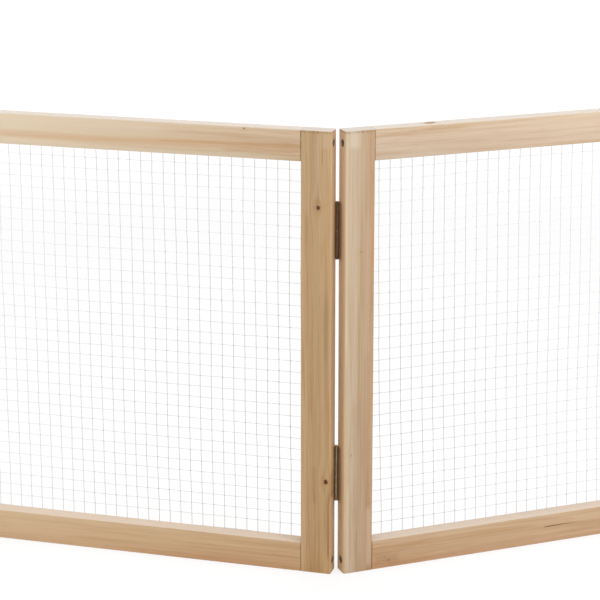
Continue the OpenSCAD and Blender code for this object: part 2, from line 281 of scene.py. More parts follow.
def giving(group, **values):
    """Ends a node group with these named values or vectors as its outputs, and returns it."""
    for name, value in values.items():
        kind = "Vector" if value.type == "VECTOR" else "Float"
        group.interface.new_socket(name=name, in_out="OUTPUT", socket_type="NodeSocket" + kind)
    given = group.nodes.new("NodeGroupOutput").inputs
    for name, value in values.items():
        group.links.new(value, given[name])
    return group


def grain_effect():
    """Growth rings round a pith, slow streaks and fine fibres, all along x, in millimetres."""
    takes = {"Place": "Vector", "Pith": "Vector", "Ring Width": "Float", "Seed": "Float"}
    group, taken = effect("softwood_grain", takes)
    seed = put(group, "CombineXYZ", [taken["Seed"]] * 3).outputs[0]
    shifted = by_parts(group, seed, (37.0, 211.0, 97.0))
    own = by_parts(group, taken["Place"], shifted, "ADD")
    wander = calc(group, "SUBTRACT", cloud(group, own, (0.0045, 0.03, 0.03)), 0.5)
    along, across, through = parts_of(group, taken["Place"])
    slope, pith_across, pith_through = parts_of(group, taken["Pith"])
    aside = calc(group, "SUBTRACT", calc(group, "MULTIPLY_ADD", wander, 8.0, across), pith_across)
    sunk = calc(group, "SUBTRACT", calc(group, "MULTIPLY_ADD", wander, 5.0, through), pith_through)
    deep = calc(group, "MULTIPLY_ADD", along, slope, sunk)
    squares = calc(group, "ADD", times(group, aside, aside), times(group, deep, deep))
    radius = calc(group, "SQRT", squares)
    ripple = times(group, cloud(group, own, (0.012, 0.12, 0.12)), 0.9)
    rings = calc(group, "ADD", calc(group, "DIVIDE", radius, taken["Ring Width"]), ripple)
    in_ring = calc(group, "FRACT", rings)
    darkening = calc(group, "POWER", in_ring, 2.6)
    late = times(group, darkening, ramp(group, in_ring, 0.9, 1.0, 1.0, 0.0))
    streaks = cloud(group, own, (0.006, 0.2, 0.2), detail=3.0, roughness=0.6)
    fibres = cloud(group, own, (0.045, 1.7, 1.7), detail=3.0, roughness=0.65)
    return giving(group, Rings=late, Streaks=streaks, Fibres=fibres, Wander=wander)


def knot_effect():
    """A knot at a centre that the grain flows round. Spread is 0 along it and less where it is long."""
    takes = {"Place": "Vector", "Centre": "Vector", "Spread": "Vector", "Radius": "Float"}
    group, taken = effect("knot", takes)
    apart = by_parts(group, taken["Place"], taken["Centre"], "SUBTRACT")
    apart = by_parts(group, apart, taken["Spread"])
    distance = length_of(group, by_parts(group, apart, (0.8, 1.0, 1.0)))
    ragged = calc(group, "SUBTRACT", cloud(group, taken["Place"], (0.5, 0.5, 0.5)), 0.5)
    in_radii = calc(group, "DIVIDE", distance, taken["Radius"])
    rough_edge = calc(group, "MULTIPLY_ADD", ragged, 0.7, in_radii)
    core = ramp(group, rough_edge, 0.65, 1.05, 1.0, 0.0)
    halo = calc(group, "EXPONENT", times(group, rough_edge, rough_edge, -0.22))
    reach = length_of(group, by_parts(group, apart, (0.14, 0.33, 0.33)))
    far = calc(group, "DIVIDE", reach, taken["Radius"])
    hold = calc(group, "EXPONENT", times(group, far, far, -1.0))
    inward = by_parts(group, apart, (0.0, -1.0, -1.0))
    bend = put(group, "VectorMath", {0: inward, "Scale": hold}, operation="SCALE").outputs[0]
    return giving(group, Core=core, Halo=halo, Bend=bend)


def streak_effect():
    """A soft line of other wood along x, thin at its ends and broken by the slow streaks."""
    group, taken = effect("streak", dict.fromkeys(
        ("Line", "Along", "Grain", "Level", "Half Width", "Start", "End", "Soft End", "Share"), "Float"))
    off = calc(group, "ABSOLUTE", calc(group, "SUBTRACT", taken["Line"], taken["Level"]))
    inner, outer = [times(group, taken["Half Width"], share) for share in (0.3, 1.4)]
    core = ramp(group, off, inner, outer, taken["Share"], 0.0)
    full = calc(group, "ADD", taken["Start"], taken["Soft End"])
    fading = calc(group, "SUBTRACT", taken["End"], taken["Soft End"])
    begun = ramp(group, taken["Along"], taken["Start"], full)
    going_on = ramp(group, taken["Along"], fading, taken["End"], 1.0, 0.0)
    broken = ramp(group, taken["Grain"], 0.3, 0.6, 0.55, 1.0)
    return giving(group, Streak=times(group, core, begun, going_on, broken))


def faces_effect():
    """How far light from above is painted on a bar's upper edge, and where the saw has cut across its grain.
    """
    takes = {"Height": "Float", "Start": "Float", "Full": "Float", "Share": "Float", "Normal": "Vector"}
    group, taken = effect("bar_faces", takes)
    bleached = ramp(group, taken["Height"], taken["Start"], taken["Full"], 0.0, taken["Share"])
    lengthwise = calc(group, "ABSOLUTE", parts_of(group, taken["Normal"])[0])
    return giving(group, Bleached=bleached, Sawn=ramp(group, lengthwise, 0.6, 0.9))


def upright_wear_effect():
    """Painted shade beside an upright's hinges and in its counterbores, and where the saw tore it."""
    takes = {"Place": "Vector", "Hinge Edge": "Float", "Rub Depth": "Float", "Rub Share": "Float"}
    group, taken = effect("upright_wear", takes)
    along, across, through = parts_of(group, taken["Place"])
    beside = burnt = 0.0
    # Painted shade on the edge face beside each hinge's knuckles, towards the back
    for middle in (HINGE_MIDDLE, PANEL_HEIGHT - HINGE_MIDDLE):
        off = calc(group, "ABSOLUTE", calc(group, "SUBTRACT", along, middle))
        knuckle = ramp(group, off, LEAF_HEIGHT / 2 - 1, LEAF_HEIGHT / 2 + 1.5, 1.0, 0.0)
        beside = calc(group, "ADD", knuckle, beside)
    inward = calc(group, "ABSOLUTE", calc(group, "SUBTRACT", across, taken["Hinge Edge"]))
    edge = ramp(group, inward, 0.4, 2.5, 1.0, 0.0)
    behind = ramp(group, through, 1.0, taken["Rub Depth"], taken["Rub Share"], 0.0)
    # Painted shade in and round each counterbore, over its darker end grain
    for middle in (CORNER_SCREW_INSET, PANEL_HEIGHT - CORNER_SCREW_INSET):
        from_screw = by_parts(group, taken["Place"], (middle, 0.0, BAR_THICKNESS / 2), "SUBTRACT")
        around = length_of(group, by_parts(group, from_screw, THROUGH_EDGE))
        rim = ramp(group, around, COUNTERBORE_RADIUS + 0.1, COUNTERBORE_RADIUS + 0.5, 0.7, 0.0)
        burnt = calc(group, "ADD", rim, burnt)
    below_mouth = times(group, ramp(group, inward, 0.1, 0.6), ramp(group, inward, 5.0, 6.0, 1.0, 0.0))
    tufts = cloud(group, taken["Place"], (0.05, 0.5, 0.5), detail=3.0)
    torn = ramp(group, tufts, 0.42, 0.62, 0.1, 0.6)
    top_end = ramp(group, along, PANEL_HEIGHT - 4, PANEL_HEIGHT - 2)
    return giving(group, Rubbed=times(group, edge, behind, beside),
                  Burnt=times(group, burnt, below_mouth), Torn=times(group, torn, top_end))


def rail_wear_effect():
    """The painted shadow in the seams where a rail's two ends meet the uprights, uneven as the joints are."""
    group, taken = effect("rail_wear", {"Place": "Vector", "Left": "Float", "Right": "Float"})
    along = parts_of(group, taken["Place"])[0]
    gaps = cloud(group, taken["Place"], (0.02, 0.16, 0.16), detail=3.0)
    uneven = ramp(group, gaps, 0.35, 0.6, 0.45, 1.0)
    seams = [ramp(group, along, end + inward / 3, end + inward, taken[side], 0.0)
             for side, end, inward in (("Left", 0, SEAM_WIDTH), ("Right", RAIL_LENGTH, -SEAM_WIDTH))]
    return giving(group, Seams=times(group, calc(group, "ADD", *seams), uneven))


THROUGH_FACE = (1.0, 1.0, 0.0)
THROUGH_EDGE = (1.0, 0.0, 1.0)
GRAIN = grain_effect()
KNOT = knot_effect()
STREAK = streak_effect()
FACES = faces_effect()
UPRIGHT_WEAR = upright_wear_effect()
RAIL_WEAR = rail_wear_effect()


def blank(name):
    """A new material, its node tree, and the place on a piece in millimetres and its normal."""
    material = bpy.data.materials.new(name)
    material.use_nodes = True
    tree = material.node_tree
    coords = put(tree, "TexCoord").outputs
    return material, tree, by_parts(tree, coords["Object"], (1 / MM,) * 3), coords["Normal"]


def finished(material, colour, roughness, height, strength, depth, **settings):
    """The material with its colour, roughness and bump, depth metres deep, and its own settings."""
    tree = material.node_tree
    shader = tree.nodes["Principled BSDF"]
    tree.links.new(colour, shader.inputs["Base Color"])
    tree.links.new(roughness, shader.inputs["Roughness"])
    bump = put(tree, "Bump", {"Strength": strength, "Distance": depth, "Height": height})
    tree.links.new(bump.outputs[0], shader.inputs["Normal"])
    for setting, value in settings.items():
        shader.inputs[setting].default_value = value
    return material


def shades_across(tree, across, tints):
    """The shades of a bar at their places across it, eased into each other."""
    bands = put(tree, "ValToRGB", [across])
    bands.color_ramp.interpolation = "EASE"
    stops = bands.color_ramp.elements
    while len(stops) < len(tints):
        stops.new(0.5)
    for stop, (position, shade) in zip(stops, tints):
        stop.position = position
        stop.color = tint(*shade)
    return bands.outputs["Color"]


def grained(tree, colour, grain, ring_depth):
    """A colour with late wood, slow streaks and fibres over it."""
    colour = mixed(tree, times(tree, grain["Rings"], ring_depth), colour, LATE_WOOD, "MULTIPLY")
    dark = ramp(tree, grain["Streaks"], 0.42, 0.72)
    colour = mixed(tree, dark, colour, DARK_STREAK, "MULTIPLY")
    pale = ramp(tree, grain["Streaks"], 0.42, 0.22, 0.0, 0.35)
    colour = mixed(tree, pale, colour, PALE_STREAK, "SOFT_LIGHT")
    fibres = ramp(tree, grain["Fibres"], 0.5, 0.8, 0.0, 0.7)
    return mixed(tree, fibres, colour, FIBRE, "MULTIPLY")


def knots_in(tree, place, knots):
    """Each knot's masks, darkness and heart, and the place as the grain bends round the knots."""
    marks = []
    flow = place
    for centre, radius, spread, darkness, *heart in knots:
        values = {"Place": place, "Centre": centre, "Spread": spread, "Radius": radius}
        masks = put(tree, "Group", values, node_tree=KNOT).outputs
        flow = by_parts(tree, flow, masks["Bend"], "ADD")
        marks.append((masks, darkness, *(heart or [KNOT_HEART])))
    return marks, flow


def streaked(tree, colour, grain, line, along, streaks):
    """A colour with each streak over it."""
    for level, half_width, start, end, shade, share in streaks:
        values = {"Line": line, "Along": along, "Grain": grain["Streaks"], "Level": level,
                  "Half Width": half_width, "Start": start, "End": end,
                  "Soft End": min(40, (end - start) * 0.15), "Share": share}
        colour = marked(tree, colour, STREAK, values, {"Streak": shade})
    return colour


def worn(tree, colour, place, hinge_edge, seams, rub):
    """A colour with an upright's torn fibres and painted shade, or a hinge-less rail's painted seam shadow.
    """
    if hinge_edge is None:
        values = {"Place": place, "Left": seams[0], "Right": seams[1]}
        return marked(tree, colour, RAIL_WEAR, values, {"Seams": SEAM_SHADOW})
    values = {"Place": place, "Hinge Edge": hinge_edge, "Rub Depth": rub[0], "Rub Share": rub[1]}
    # Painted shade beside the hinges and in the counterbores; the torn fibres are the wood's own
    shades = {"Rubbed": HINGE_SMUT, "Burnt": SCREW_BURN, "Torn": TORN_FIBRES}
    return marked(tree, colour, UPRIGHT_WEAR, values, shades)


def resin_pocket(tree, spot, start, level, half_length, half_width, slope):
    """The mask of a resin pocket that opens to the front, blunt at its start and drawn out after."""
    along, across, through = spot
    run = calc(tree, "SUBTRACT", along, start + half_length)
    share = calc(tree, "MULTIPLY_ADD", run, 0.5 / half_length, 0.5)
    opening = calc(tree, "POWER", calc(tree, "MAXIMUM", share, 0.0), 0.3)
    closing = calc(tree, "MAXIMUM", calc(tree, "SUBTRACT", 1.0, share), 0.0)
    lens = times(tree, opening, closing, 1.5 * half_width)
    aside = calc(tree, "SUBTRACT", calc(tree, "SUBTRACT", across, level), times(tree, run, slope))
    left_over = calc(tree, "SUBTRACT", lens, calc(tree, "ABSOLUTE", aside))
    open_to_front = ramp(tree, through, 11.0, 13.0)
    fresh = ramp(tree, run, -half_length, half_length, 0.95, 0.6)
    return times(tree, ramp(tree, left_over, -0.3, 0.3), open_to_front, fresh)


def softwood(name, width, hinge_edge, crest, tints, pith, ring_width, seed, knots=(), pocket=None,
             ring_depth=0.4, fade=None, streaks=(), seams=(0.6, 0.6), rub=(8, 0.7)):
    """Bare planed softwood. tints are shades across the bar, from its y = 0 edge at 0 to 1.

    pith is how far the growth rings' middle sinks to a millimetre of the bar, and where it lies
    across and through it. ring_depth is how much the late wood shows. fade is a stretch along the
    bar over which its wood turns paler, how far and to what shade, which is paler wood together
    with painted light. crest is the bar's upper edge, as BARS gives it, with its painted light.
    hinge_edge is the y of an upright's edge beside the knuckles, where painted shade lies as far
    from the back and as dark as the last argument says. It is None for a rail, whose painted seam
    shadows are as dark at its two ends as seams says.
    """
    material, tree, place, normal = blank(name)
    marks, flow = knots_in(tree, place, knots)
    values = {"Place": flow, "Pith": pith, "Ring Width": ring_width, "Seed": seed}
    grain = put(tree, "Group", values, node_tree=GRAIN).outputs
    spot = list(parts_of(tree, place))
    along = spot[0]
    bent = parts_of(tree, flow)[1]

    across = calc(tree, "DIVIDE", calc(tree, "MULTIPLY_ADD", grain["Wander"], 11.0, bent), width)
    colour = grained(tree, shades_across(tree, across, tints), grain, ring_depth)
    # Paler wood along the bar, together with painted light that grows towards one end
    if fade:
        (near, far, share, shade) = fade
        paler = times(tree, put(tree, "MapRange", [along, near, far]).outputs[0], share)
        colour = mixed(tree, paler, colour, shade)
    line = calc(tree, "MULTIPLY_ADD", grain["Wander"], 5.0, bent)
    colour = streaked(tree, colour, grain, line, along, streaks)
    for masks, darkness, heart in marks:
        halo = times(tree, masks["Halo"], 0.5 * darkness)
        colour = mixed(tree, halo, colour, KNOT_HALO, "MULTIPLY")
        colour = mixed(tree, times(tree, masks["Core"], darkness), colour, heart)
    if pocket:
        colour = mixed(tree, resin_pocket(tree, spot, *pocket), colour, RESIN)

    (upward, level, depth, share, shade) = crest
    values = {"Height": spot[upward], "Start": level - depth, "Full": level - depth / 6,
              "Share": share, "Normal": normal}
    faces = put(tree, "Group", values, node_tree=FACES).outputs
    colour = mixed(tree, faces["Sawn"], colour, SAWN_END, "MULTIPLY")
    colour = worn(tree, colour, place, hinge_edge, seams, rub)
    # Painted light on the faces turned up, kept off the knots
    bleached = faces["Bleached"]
    for masks, darkness, _ in marks:
        beside_knot = calc(tree, "MULTIPLY_ADD", masks["Core"], -1.4 * darkness, 1.0)
        bleached = times(tree, bleached, beside_knot)
    colour = mixed(tree, bleached, colour, shade)

    dryness = calc(tree, "MULTIPLY_ADD", grain["Fibres"], 0.22, 0.5)
    dryness = calc(tree, "MULTIPLY_ADD", grain["Rings"], -0.08, dryness)
    dryness = calc(tree, "MULTIPLY_ADD", faces["Sawn"], 0.15, dryness)
    lift = calc(tree, "MULTIPLY_ADD", grain["Rings"], 0.5, grain["Fibres"])
    return finished(material, colour, dryness, lift, strength=0.35, depth=0.00012, IOR=1.45)


def settled(shape, name, crease=35):
    """The finished mesh of a bmesh: normals outward, smooth but for edges sharper than crease."""
    bmesh.ops.recalc_face_normals(shape, faces=shape.faces)
    for face in shape.faces:
        face.smooth = True
    for edge in shape.edges:
        edge.smooth = len(edge.link_faces) == 2 and edge.calc_face_angle() < math.radians(crease)
    shape.transform(Matrix.Scale(MM, 4))
    mesh = bpy.data.meshes.new(name)
    shape.to_mesh(mesh)
    shape.free()
    return mesh


def skin(shape, rings, capped=True):
    """Faces from each ring of points to the next, and over both ends. An end can be one point."""
    for low, high in zip(rings, rings[1:]):
        sides = max(len(low), len(high))
        for step in range(sides):
            following = (step + 1) % sides
            corners = [low[step % len(low)], low[following % len(low)],
                       high[following % len(high)], high[step % len(high)]]
            shape.faces.new(list(dict.fromkeys(corners)))
    if capped:
        shape.faces.new(rings[0])
        shape.faces.new(rings[-1])


def turned(profile, sides=32):
    """A solid turned about z from (radius, z) points that start and end on the axis."""
    shape = bmesh.new()
    angles = [2 * math.pi * step / sides for step in range(sides)]
    rings = []
    for radius, z in profile:
        spots = [(radius * math.cos(angle), radius * math.sin(angle), z) for angle in angles]
        rings.append([shape.verts.new(spot) for spot in (spots if radius else spots[:1])])
    skin(shape, rings, capped=False)
    return shape


def bored(shape, *borers):
    """The shape with each borer's shape taken out of it."""
    things = []
    for part in (shape, *borers):
        mesh = bpy.data.meshes.new("work")
        bmesh.ops.recalc_face_normals(part, faces=part.faces)
        part.to_mesh(mesh)
        part.free()
        things.append(bpy.data.objects.new("work", mesh))
        bpy.context.scene.collection.objects.link(things[-1])
    for borer in things[1:]:
        bore = things[0].modifiers.new("bore", "BOOLEAN")
        bore.object = borer
        bore.operation = "DIFFERENCE"
        bore.solver = "EXACT"
    seen = bpy.context.evaluated_depsgraph_get()
    result = bmesh.new()
    result.from_object(things[0], seen)
    for thing in things:
        mesh = thing.data
        bpy.data.objects.remove(thing)
        bpy.data.meshes.remove(mesh)
    return result


def bar_shape(length, width, seed, arrises):
    """A planed bar along x, its width along y and its back face at z = 0, with sawn ends.

    arrises are the radii of its rubbed long edges: front high and low in y, back low and high.
    """
    shape = bmesh.new()
    steps = max(2, round(length / BAR_STEP))
    between = [SAWN_EDGE + (length - 2 * SAWN_EDGE) * step / steps for step in range(steps + 1)]
    rings = []
    for x in [0, *between, length]:
        inset = SAWN_EDGE if x in (0, length) else 0
        ring = []
        for corner, (y_side, z_side) in enumerate([(1, 1), (0, 1), (0, 0), (1, 0)]):
            uneven = UNEVEN_ARRIS * noise.noise((x * 0.015, corner * 3.7, seed * 5.1))
            rubbed = arrises[corner] * (1 + uneven)
            centre_y = width - rubbed if y_side else rubbed
            centre_z = BAR_THICKNESS - rubbed if z_side else rubbed
            for step in range(4):
                angle = math.radians(90 * corner + 30 * step)
                ring.append(shape.verts.new((x, centre_y + (rubbed - inset) * math.cos(angle),
                                             centre_z + (rubbed - inset) * math.sin(angle))))
        rings.append(ring)
    skin(shape, rings)
    return shape


def corner_borer(x, y, outward):
    """The counterbore of a corner screw, from a bar's edge at y into it, with a worn mouth."""
    radius, mouth = COUNTERBORE_RADIUS, COUNTERBORE_RADIUS + COUNTERBORE_WEAR
    shape = turned([(0, -COUNTERBORE_DEPTH), (radius, -COUNTERBORE_DEPTH), (radius, -0.3),
                    (mouth, 0.2), (mouth, 1), (0, 1)])
    lie = Matrix.Rotation(-outward * math.pi / 2, 4, "X")
    shape.transform(Matrix.Translation((x, y, BAR_THICKNESS / 2)) @ lie)
    return shape


UPRIGHT_TURN = Matrix(((0, -1, 0, 0), (0, 0, -1, 0), (1, 0, 0, 0), (0, 0, 0, 1)))
RAIL_TURN = Matrix(((1, 0, 0, 0), (0, 0, -1, 0), (0, 1, 0, 0), (0, 0, 0, 1)))
# The crests' shades are painted light on the faces turned up
UPRIGHT_CREST = (0, PANEL_HEIGHT, 0.8, 0.85, (215, 208, 199))
TOP_CREST = (1, PLANED_RAIL, 0.7, 0.8, (213, 205, 196))
BOTTOM_CREST = (1, PLANED_RAIL, 0.9, 0.5, (237, 226, 216))
# Each bar's length and width, how it is turned and where it starts in its panel, and its crest:
# which of the bar's directions is up, the level of its upper edge, and how deep, how far and in
# what shade light from above is painted on it
BARS = {
    "pin_stile": (PANEL_HEIGHT, UPRIGHT_WIDTH, UPRIGHT_TURN, (UPRIGHT_WIDTH, 0, 0), UPRIGHT_CREST),
    "socket_stile": (PANEL_HEIGHT, UPRIGHT_WIDTH, UPRIGHT_TURN, (PANEL_LENGTH, 0, 0), UPRIGHT_CREST),
    "top_rail": (RAIL_LENGTH, PLANED_RAIL, RAIL_TURN, (UPRIGHT_WIDTH, 0, PANEL_HEIGHT - PLANED_RAIL),
                 TOP_CREST),
    "bottom_rail": (RAIL_LENGTH, PLANED_RAIL, RAIL_TURN, (UPRIGHT_WIDTH, 0, 0), BOTTOM_CREST),
}
PLAIN_ARRISES = (FRONT_ARRIS, FRONT_ARRIS, ARRIS, ARRIS)
ARRISES = {
    "left_front_socket_stile": (FRONT_ARRIS, 1.0, ARRIS, ARRIS),
    "right_front_pin_stile": (2.4, FRONT_ARRIS, ARRIS, ARRIS),
}
# What each photographed bar looks like. A knot is ((along, across, through), radius, spread,
# darkness) and, for a pale one, its heart. A streak is (across, half width, start, end, shade,
# share), and the resin pocket is (start, across, half length, half width, slope). A fade is
# (near, far, share, shade) and gives paler wood together with painted light. An upright's hinge
# shade is how far from the back and how dark its painted shade beside the knuckles is.
BAR_LOOKS = {
    "left_front_socket_stile": dict(
        tints=[(0, (203, 167, 124)), (0.1, (207, 171, 123)), (0.35, (204, 168, 122)), (0.55, (197, 162, 119)),
               (0.75, (202, 164, 116)), (1, (210, 174, 131))], fade=(60, 480, 0.14, SUN_FADED),
        pith=(0.022, 52, -16), ring_width=2.0, seed=3, ring_depth=0.42, rub=(6, 0.55),
        knots=[((416.5, 14.6, 0), 2.5, THROUGH_FACE, 0.9), ((107.8, 5.5, 0), 2.6, THROUGH_FACE, 1.0)],
        streaks=[(2.2, 1.2, 12, 104, (160, 106, 56), 0.85), (27.3, 0.5, 376, 484, (158, 116, 66), 0.55),
                 (15.2, 1.7, 424, 500, (206, 178, 150), 0.6), (10.6, 0.7, 462, 499, (164, 122, 76), 0.6),
                 (14.9, 0.5, 419, 446, (158, 112, 66), 0.55), (21.5, 1.2, 150, 330, (176, 138, 92), 0.35),
                 (9.0, 1.3, 130, 380, (214, 182, 146), 0.35), (18.0, 0.8, 60, 210, (172, 132, 86), 0.4),
                 (11.5, 5.0, 20, 330, (164, 131, 92), 0.28), (27.0, 4.0, 400, 520, (238, 208, 168), 0.22),
                 (4.6, 2.8, 10, 340, (158, 125, 86), 0.5), (31.0, 3.5, 0, 220, (220, 192, 158), 0.3),
                 (18.5, 3.5, 78, 128, (150, 112, 72), 0.35), (7.0, 6.0, 478, 520, (236, 208, 172), 0.3)]),
    "right_front_pin_stile": dict(
        tints=[(0, (192, 154, 116)), (0.07, (192, 156, 120)), (0.16, (190, 157, 124)), (0.4, (195, 166, 135)),
               (0.6, (204, 180, 152)), (0.78, (210, 191, 167)), (0.9, (213, 187, 153)), (1, (223, 193, 156))],
        fade=(40, 480, 0.17, SUN_FADED),
        pith=(0.01, -46, -30), ring_width=2.4, seed=11, ring_depth=0.3, rub=(14, 0.6),
        knots=[((137.8, 25.6, 0), 1.0, THROUGH_FACE, 0.3), ((367.1, 15.1, 0), 0.8, THROUGH_FACE, 0.35)],
        streaks=[(1.5, 2.2, 340, 470, (200, 140, 92), 0.5), (5.2, 0.9, 380, 500, (184, 140, 100), 0.4),
                 (10.5, 1.1, 60, 260, (184, 146, 112), 0.35), (19.0, 0.8, 230, 440, (194, 160, 126), 0.3),
                 (19.0, 5.0, 50, 210, (178, 144, 110), 0.45), (32.3, 1.7, 230, 520, (248, 228, 200), 0.42),
                 (4.5, 3.5, 0, 80, (226, 200, 172), 0.45), (29.5, 2.2, 0, 110, (232, 212, 186), 0.35),
                 (7.5, 4.0, 240, 420, (216, 190, 164), 0.3), (24.0, 7.0, 478, 520, (244, 230, 210), 0.35)]),
    "left_front_top_rail": dict(
        tints=[(0, (219, 190, 156)), (0.12, (229, 206, 174)), (0.3, (223, 190, 156)), (0.42, (218, 180, 138)),
               (0.6, (224, 194, 162)), (0.8, (229, 201, 170)), (1, (231, 204, 174))],
        pith=(0.012, -14, -34), ring_width=2.8, seed=23, ring_depth=0.3,
        fade=(720, 394, 0.94, (255, 233, 202)), seams=(0.6, 0.8),
        knots=[((669.3, 32.2, 18), 1.1, THROUGH_FACE, 0.5)],
        streaks=[(8.5, 1.6, 640, 732, (198, 146, 88), 0.45), (14.0, 0.8, 560, 700, (206, 156, 100), 0.4),
                 (12.5, 4.2, 360, 650, (230, 182, 132), 0.5), (11.0, 1.2, 480, 720, (204, 152, 98), 0.2),
                 (27.0, 4.0, 340, 600, (248, 230, 206), 0.4), (1.0, 2.0, 360, 724, (240, 224, 200), 0.6)]),
    "left_front_bottom_rail": dict(
        tints=[(0, (214, 169, 127)), (0.08, (210, 169, 127)), (0.3, (210, 172, 131)), (0.65, (213, 178, 137)),
               (1, (216, 183, 144))],
        pith=(0.01, 60, -40), ring_width=2.6, seed=31, ring_depth=0.25,
        fade=(720, 394, 0.36, (255, 225, 186)), seams=(0.6, 0.5)),
    "right_front_top_rail": dict(
        tints=[(0, (214, 190, 166)), (0.3, (216, 192, 168)), (0.55, (219, 195, 170)), (0.8, (221, 198, 173)),
               (1, (225, 203, 177))],
        pith=(-0.012, 12, -44), ring_width=3.0, seed=41, ring_depth=0.17, fade=(10, 300, 0.27, SUN_FADED),
        seams=(0.45, 0.6),
        knots=[((68.3, 34.2, 7.2), 2.0, (0.3, 0.4, 0.42), 0.85, PALE_KNOT_HEART)]),
    "right_front_bottom_rail": dict(
        tints=[(0, (210, 167, 132)), (0.08, (203, 164, 128)), (0.5, (202, 167, 131)), (0.8, (207, 174, 139)),
               (1, (211, 181, 148))],
        pith=(0.014, 26, -30), ring_width=2.8, seed=47, ring_depth=0.22, fade=(20, 280, 0.14, SUN_FADED),
        knots=[((15.3, 13, 0), 0.7, THROUGH_FACE, 0.45), ((20.2, 8.7, 0), 1.0, THROUGH_FACE, 0.45)],
        pocket=(214.5, 19.7, 25.0, 0.85, 0.012),
        streaks=[(17.5, 3.5, 80, 215, (208, 174, 138), 0.5), (9.5, 3.0, 80, 215, (188, 150, 112), 0.35),
                 (16.0, 5.0, 235, 420, (190, 152, 114), 0.45),
                 (8.0, 7.0, 215, 420, (178, 138, 98), 0.22), (10.0, 5.0, 2, 34, (158, 114, 72), 0.3)]),
}
plain_chance = random.Random(7)


def plain_look(length, width, seed):
    """Shades, rings and knots of a bar that the photograph doesn't show."""
    warmth = plain_chance.uniform(-5, 5)
    base = (210 + warmth, 178 + warmth, 138 + warmth * 0.6)
    tints = []
    for position in (0, 0.25, 0.5, 0.75, 1):
        shift = plain_chance.uniform(-7, 7)
        tints.append((position, (base[0] + shift, base[1] + shift, base[2] + 1.3 * shift)))
    pith = (plain_chance.uniform(-0.03, 0.03), plain_chance.uniform(-40, 70), plain_chance.uniform(-45, -12))
    knots = []
    for _ in range(plain_chance.choice((0, 1, 1, 2))):
        centre = (plain_chance.uniform(0.15, 0.85) * length, plain_chance.uniform(0.15, 0.85) * width, 0)
        knots.append((centre, plain_chance.uniform(0.8, 2.2), THROUGH_FACE, 0.9))
    return dict(tints=tints, pith=pith, ring_width=plain_chance.uniform(2.2, 3.2), seed=seed, knots=knots)


def add_piece(name, mesh, panel, place, node, material):
    """Puts a piece at its place in a panel's frame, on the panel's body, for its CAD node."""
    if not mesh.materials:
        mesh.materials.append(material)
    piece = bpy.data.objects.new(name, mesh)
    bpy.context.scene.collection.objects.link(piece)
    piece.matrix_world = Matrix.Scale(MM, 4) @ panel_place(panel) @ place @ Matrix.Scale(1 / MM, 4)
    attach(piece, panel)
    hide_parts(node)
    return piece


for panel_number, panel in enumerate(PANELS):
    for bar_number, (bar, (length, width, turn, origin, crest)) in enumerate(BARS.items()):
        node = f"{panel}_{bar}"
        seed = 4 * panel_number + bar_number
        look = BAR_LOOKS.get(node) or plain_look(length, width, seed + 60)
        shape = bar_shape(length, width, seed, ARRISES.get(node, PLAIN_ARRISES))
        if bar.endswith("stile"):
            hinge_edge, outward = (width, 1) if bar == "pin_stile" else (0, -1)
            borers = [corner_borer(x, hinge_edge, outward)
                      for x in (CORNER_SCREW_INSET, PANEL_HEIGHT - CORNER_SCREW_INSET)]
            shape = bored(shape, *borers)
        else:
            hinge_edge = None
        wood = softwood(f"{node}_wood", width, hinge_edge, crest, **look)
        add_piece(f"{node}_bar", settled(shape, f"{node}_bar"), panel, Matrix.Translation(origin) @ turn,
                  node, wood)

# Corner screws
# Zinc-plated wood screws with a flat-topped round head and a cross recess, sunk in the counterbores
# of the uprights and driven into the rails' end grain.
SCREW_HEAD_RADIUS = 4
SCREW_HEAD_HEIGHT = 2.4
CORNER_SHANK_RADIUS = 2
CORNER_SCREW_LENGTH = 60
CORNER_SCREW_POINT = 4
CROSS_ARM = 0.3
CROSS_TIP_REACH, CROSS_TIP_WIDTH = 0.45, 0.6
CORNER_ZINC = (112, 126, 130)
CORNER_ZINC_WORN = (80, 90, 92)


def zinc_effect():
    """The crystals and dull patches of a zinc coat: Tone about 1, and Dull from 0 to 1."""
    group, taken = effect("zinc_coat", {"Place": "Vector", "Crystal": "Float"})
    values = {"Vector": taken["Place"], "Scale": taken["Crystal"]}
    cells = put(group, "TexVoronoi", values).outputs["Color"]
    tone = calc(group, "MULTIPLY_ADD", parts_of(group, cells)[0], 0.22, 0.88)
    patches = cloud(group, taken["Place"], (0.21, 0.21, 0.21), detail=3.0)
    return giving(group, Tone=tone, Dull=patches)


ZINC = zinc_effect()


def zinc_metal(name, shade, worn, crystal, roughness, metallic=0.9, weather=None):
    """Zinc on steel: a grey metal with crystals and dull, slightly darker patches.

    The last argument adds further marks, such as painted light: a node group by place and
    normal, its values and its shades.
    """
    material, tree, place, normal = blank(name)
    coat = put(tree, "Group", {"Place": place, "Crystal": crystal}, node_tree=ZINC).outputs
    lit = put(tree, "CombineColor", [coat["Tone"]] * 3).outputs[0]
    colour = mixed(tree, 1.0, shade, lit, "MULTIPLY")
    colour = mixed(tree, ramp(tree, coat["Dull"], 0.5, 0.75, 0.0, 0.6), colour, worn)
    if weather:
        (group, values, shades) = weather
        colour = marked(tree, colour, group, {"Place": place, "Normal": normal, **values}, shades)
    dullness = calc(tree, "MULTIPLY_ADD", coat["Dull"], 0.3, roughness)
    return finished(material, colour, dullness, coat["Tone"], strength=0.2, depth=0.00005,
                    Metallic=metallic)


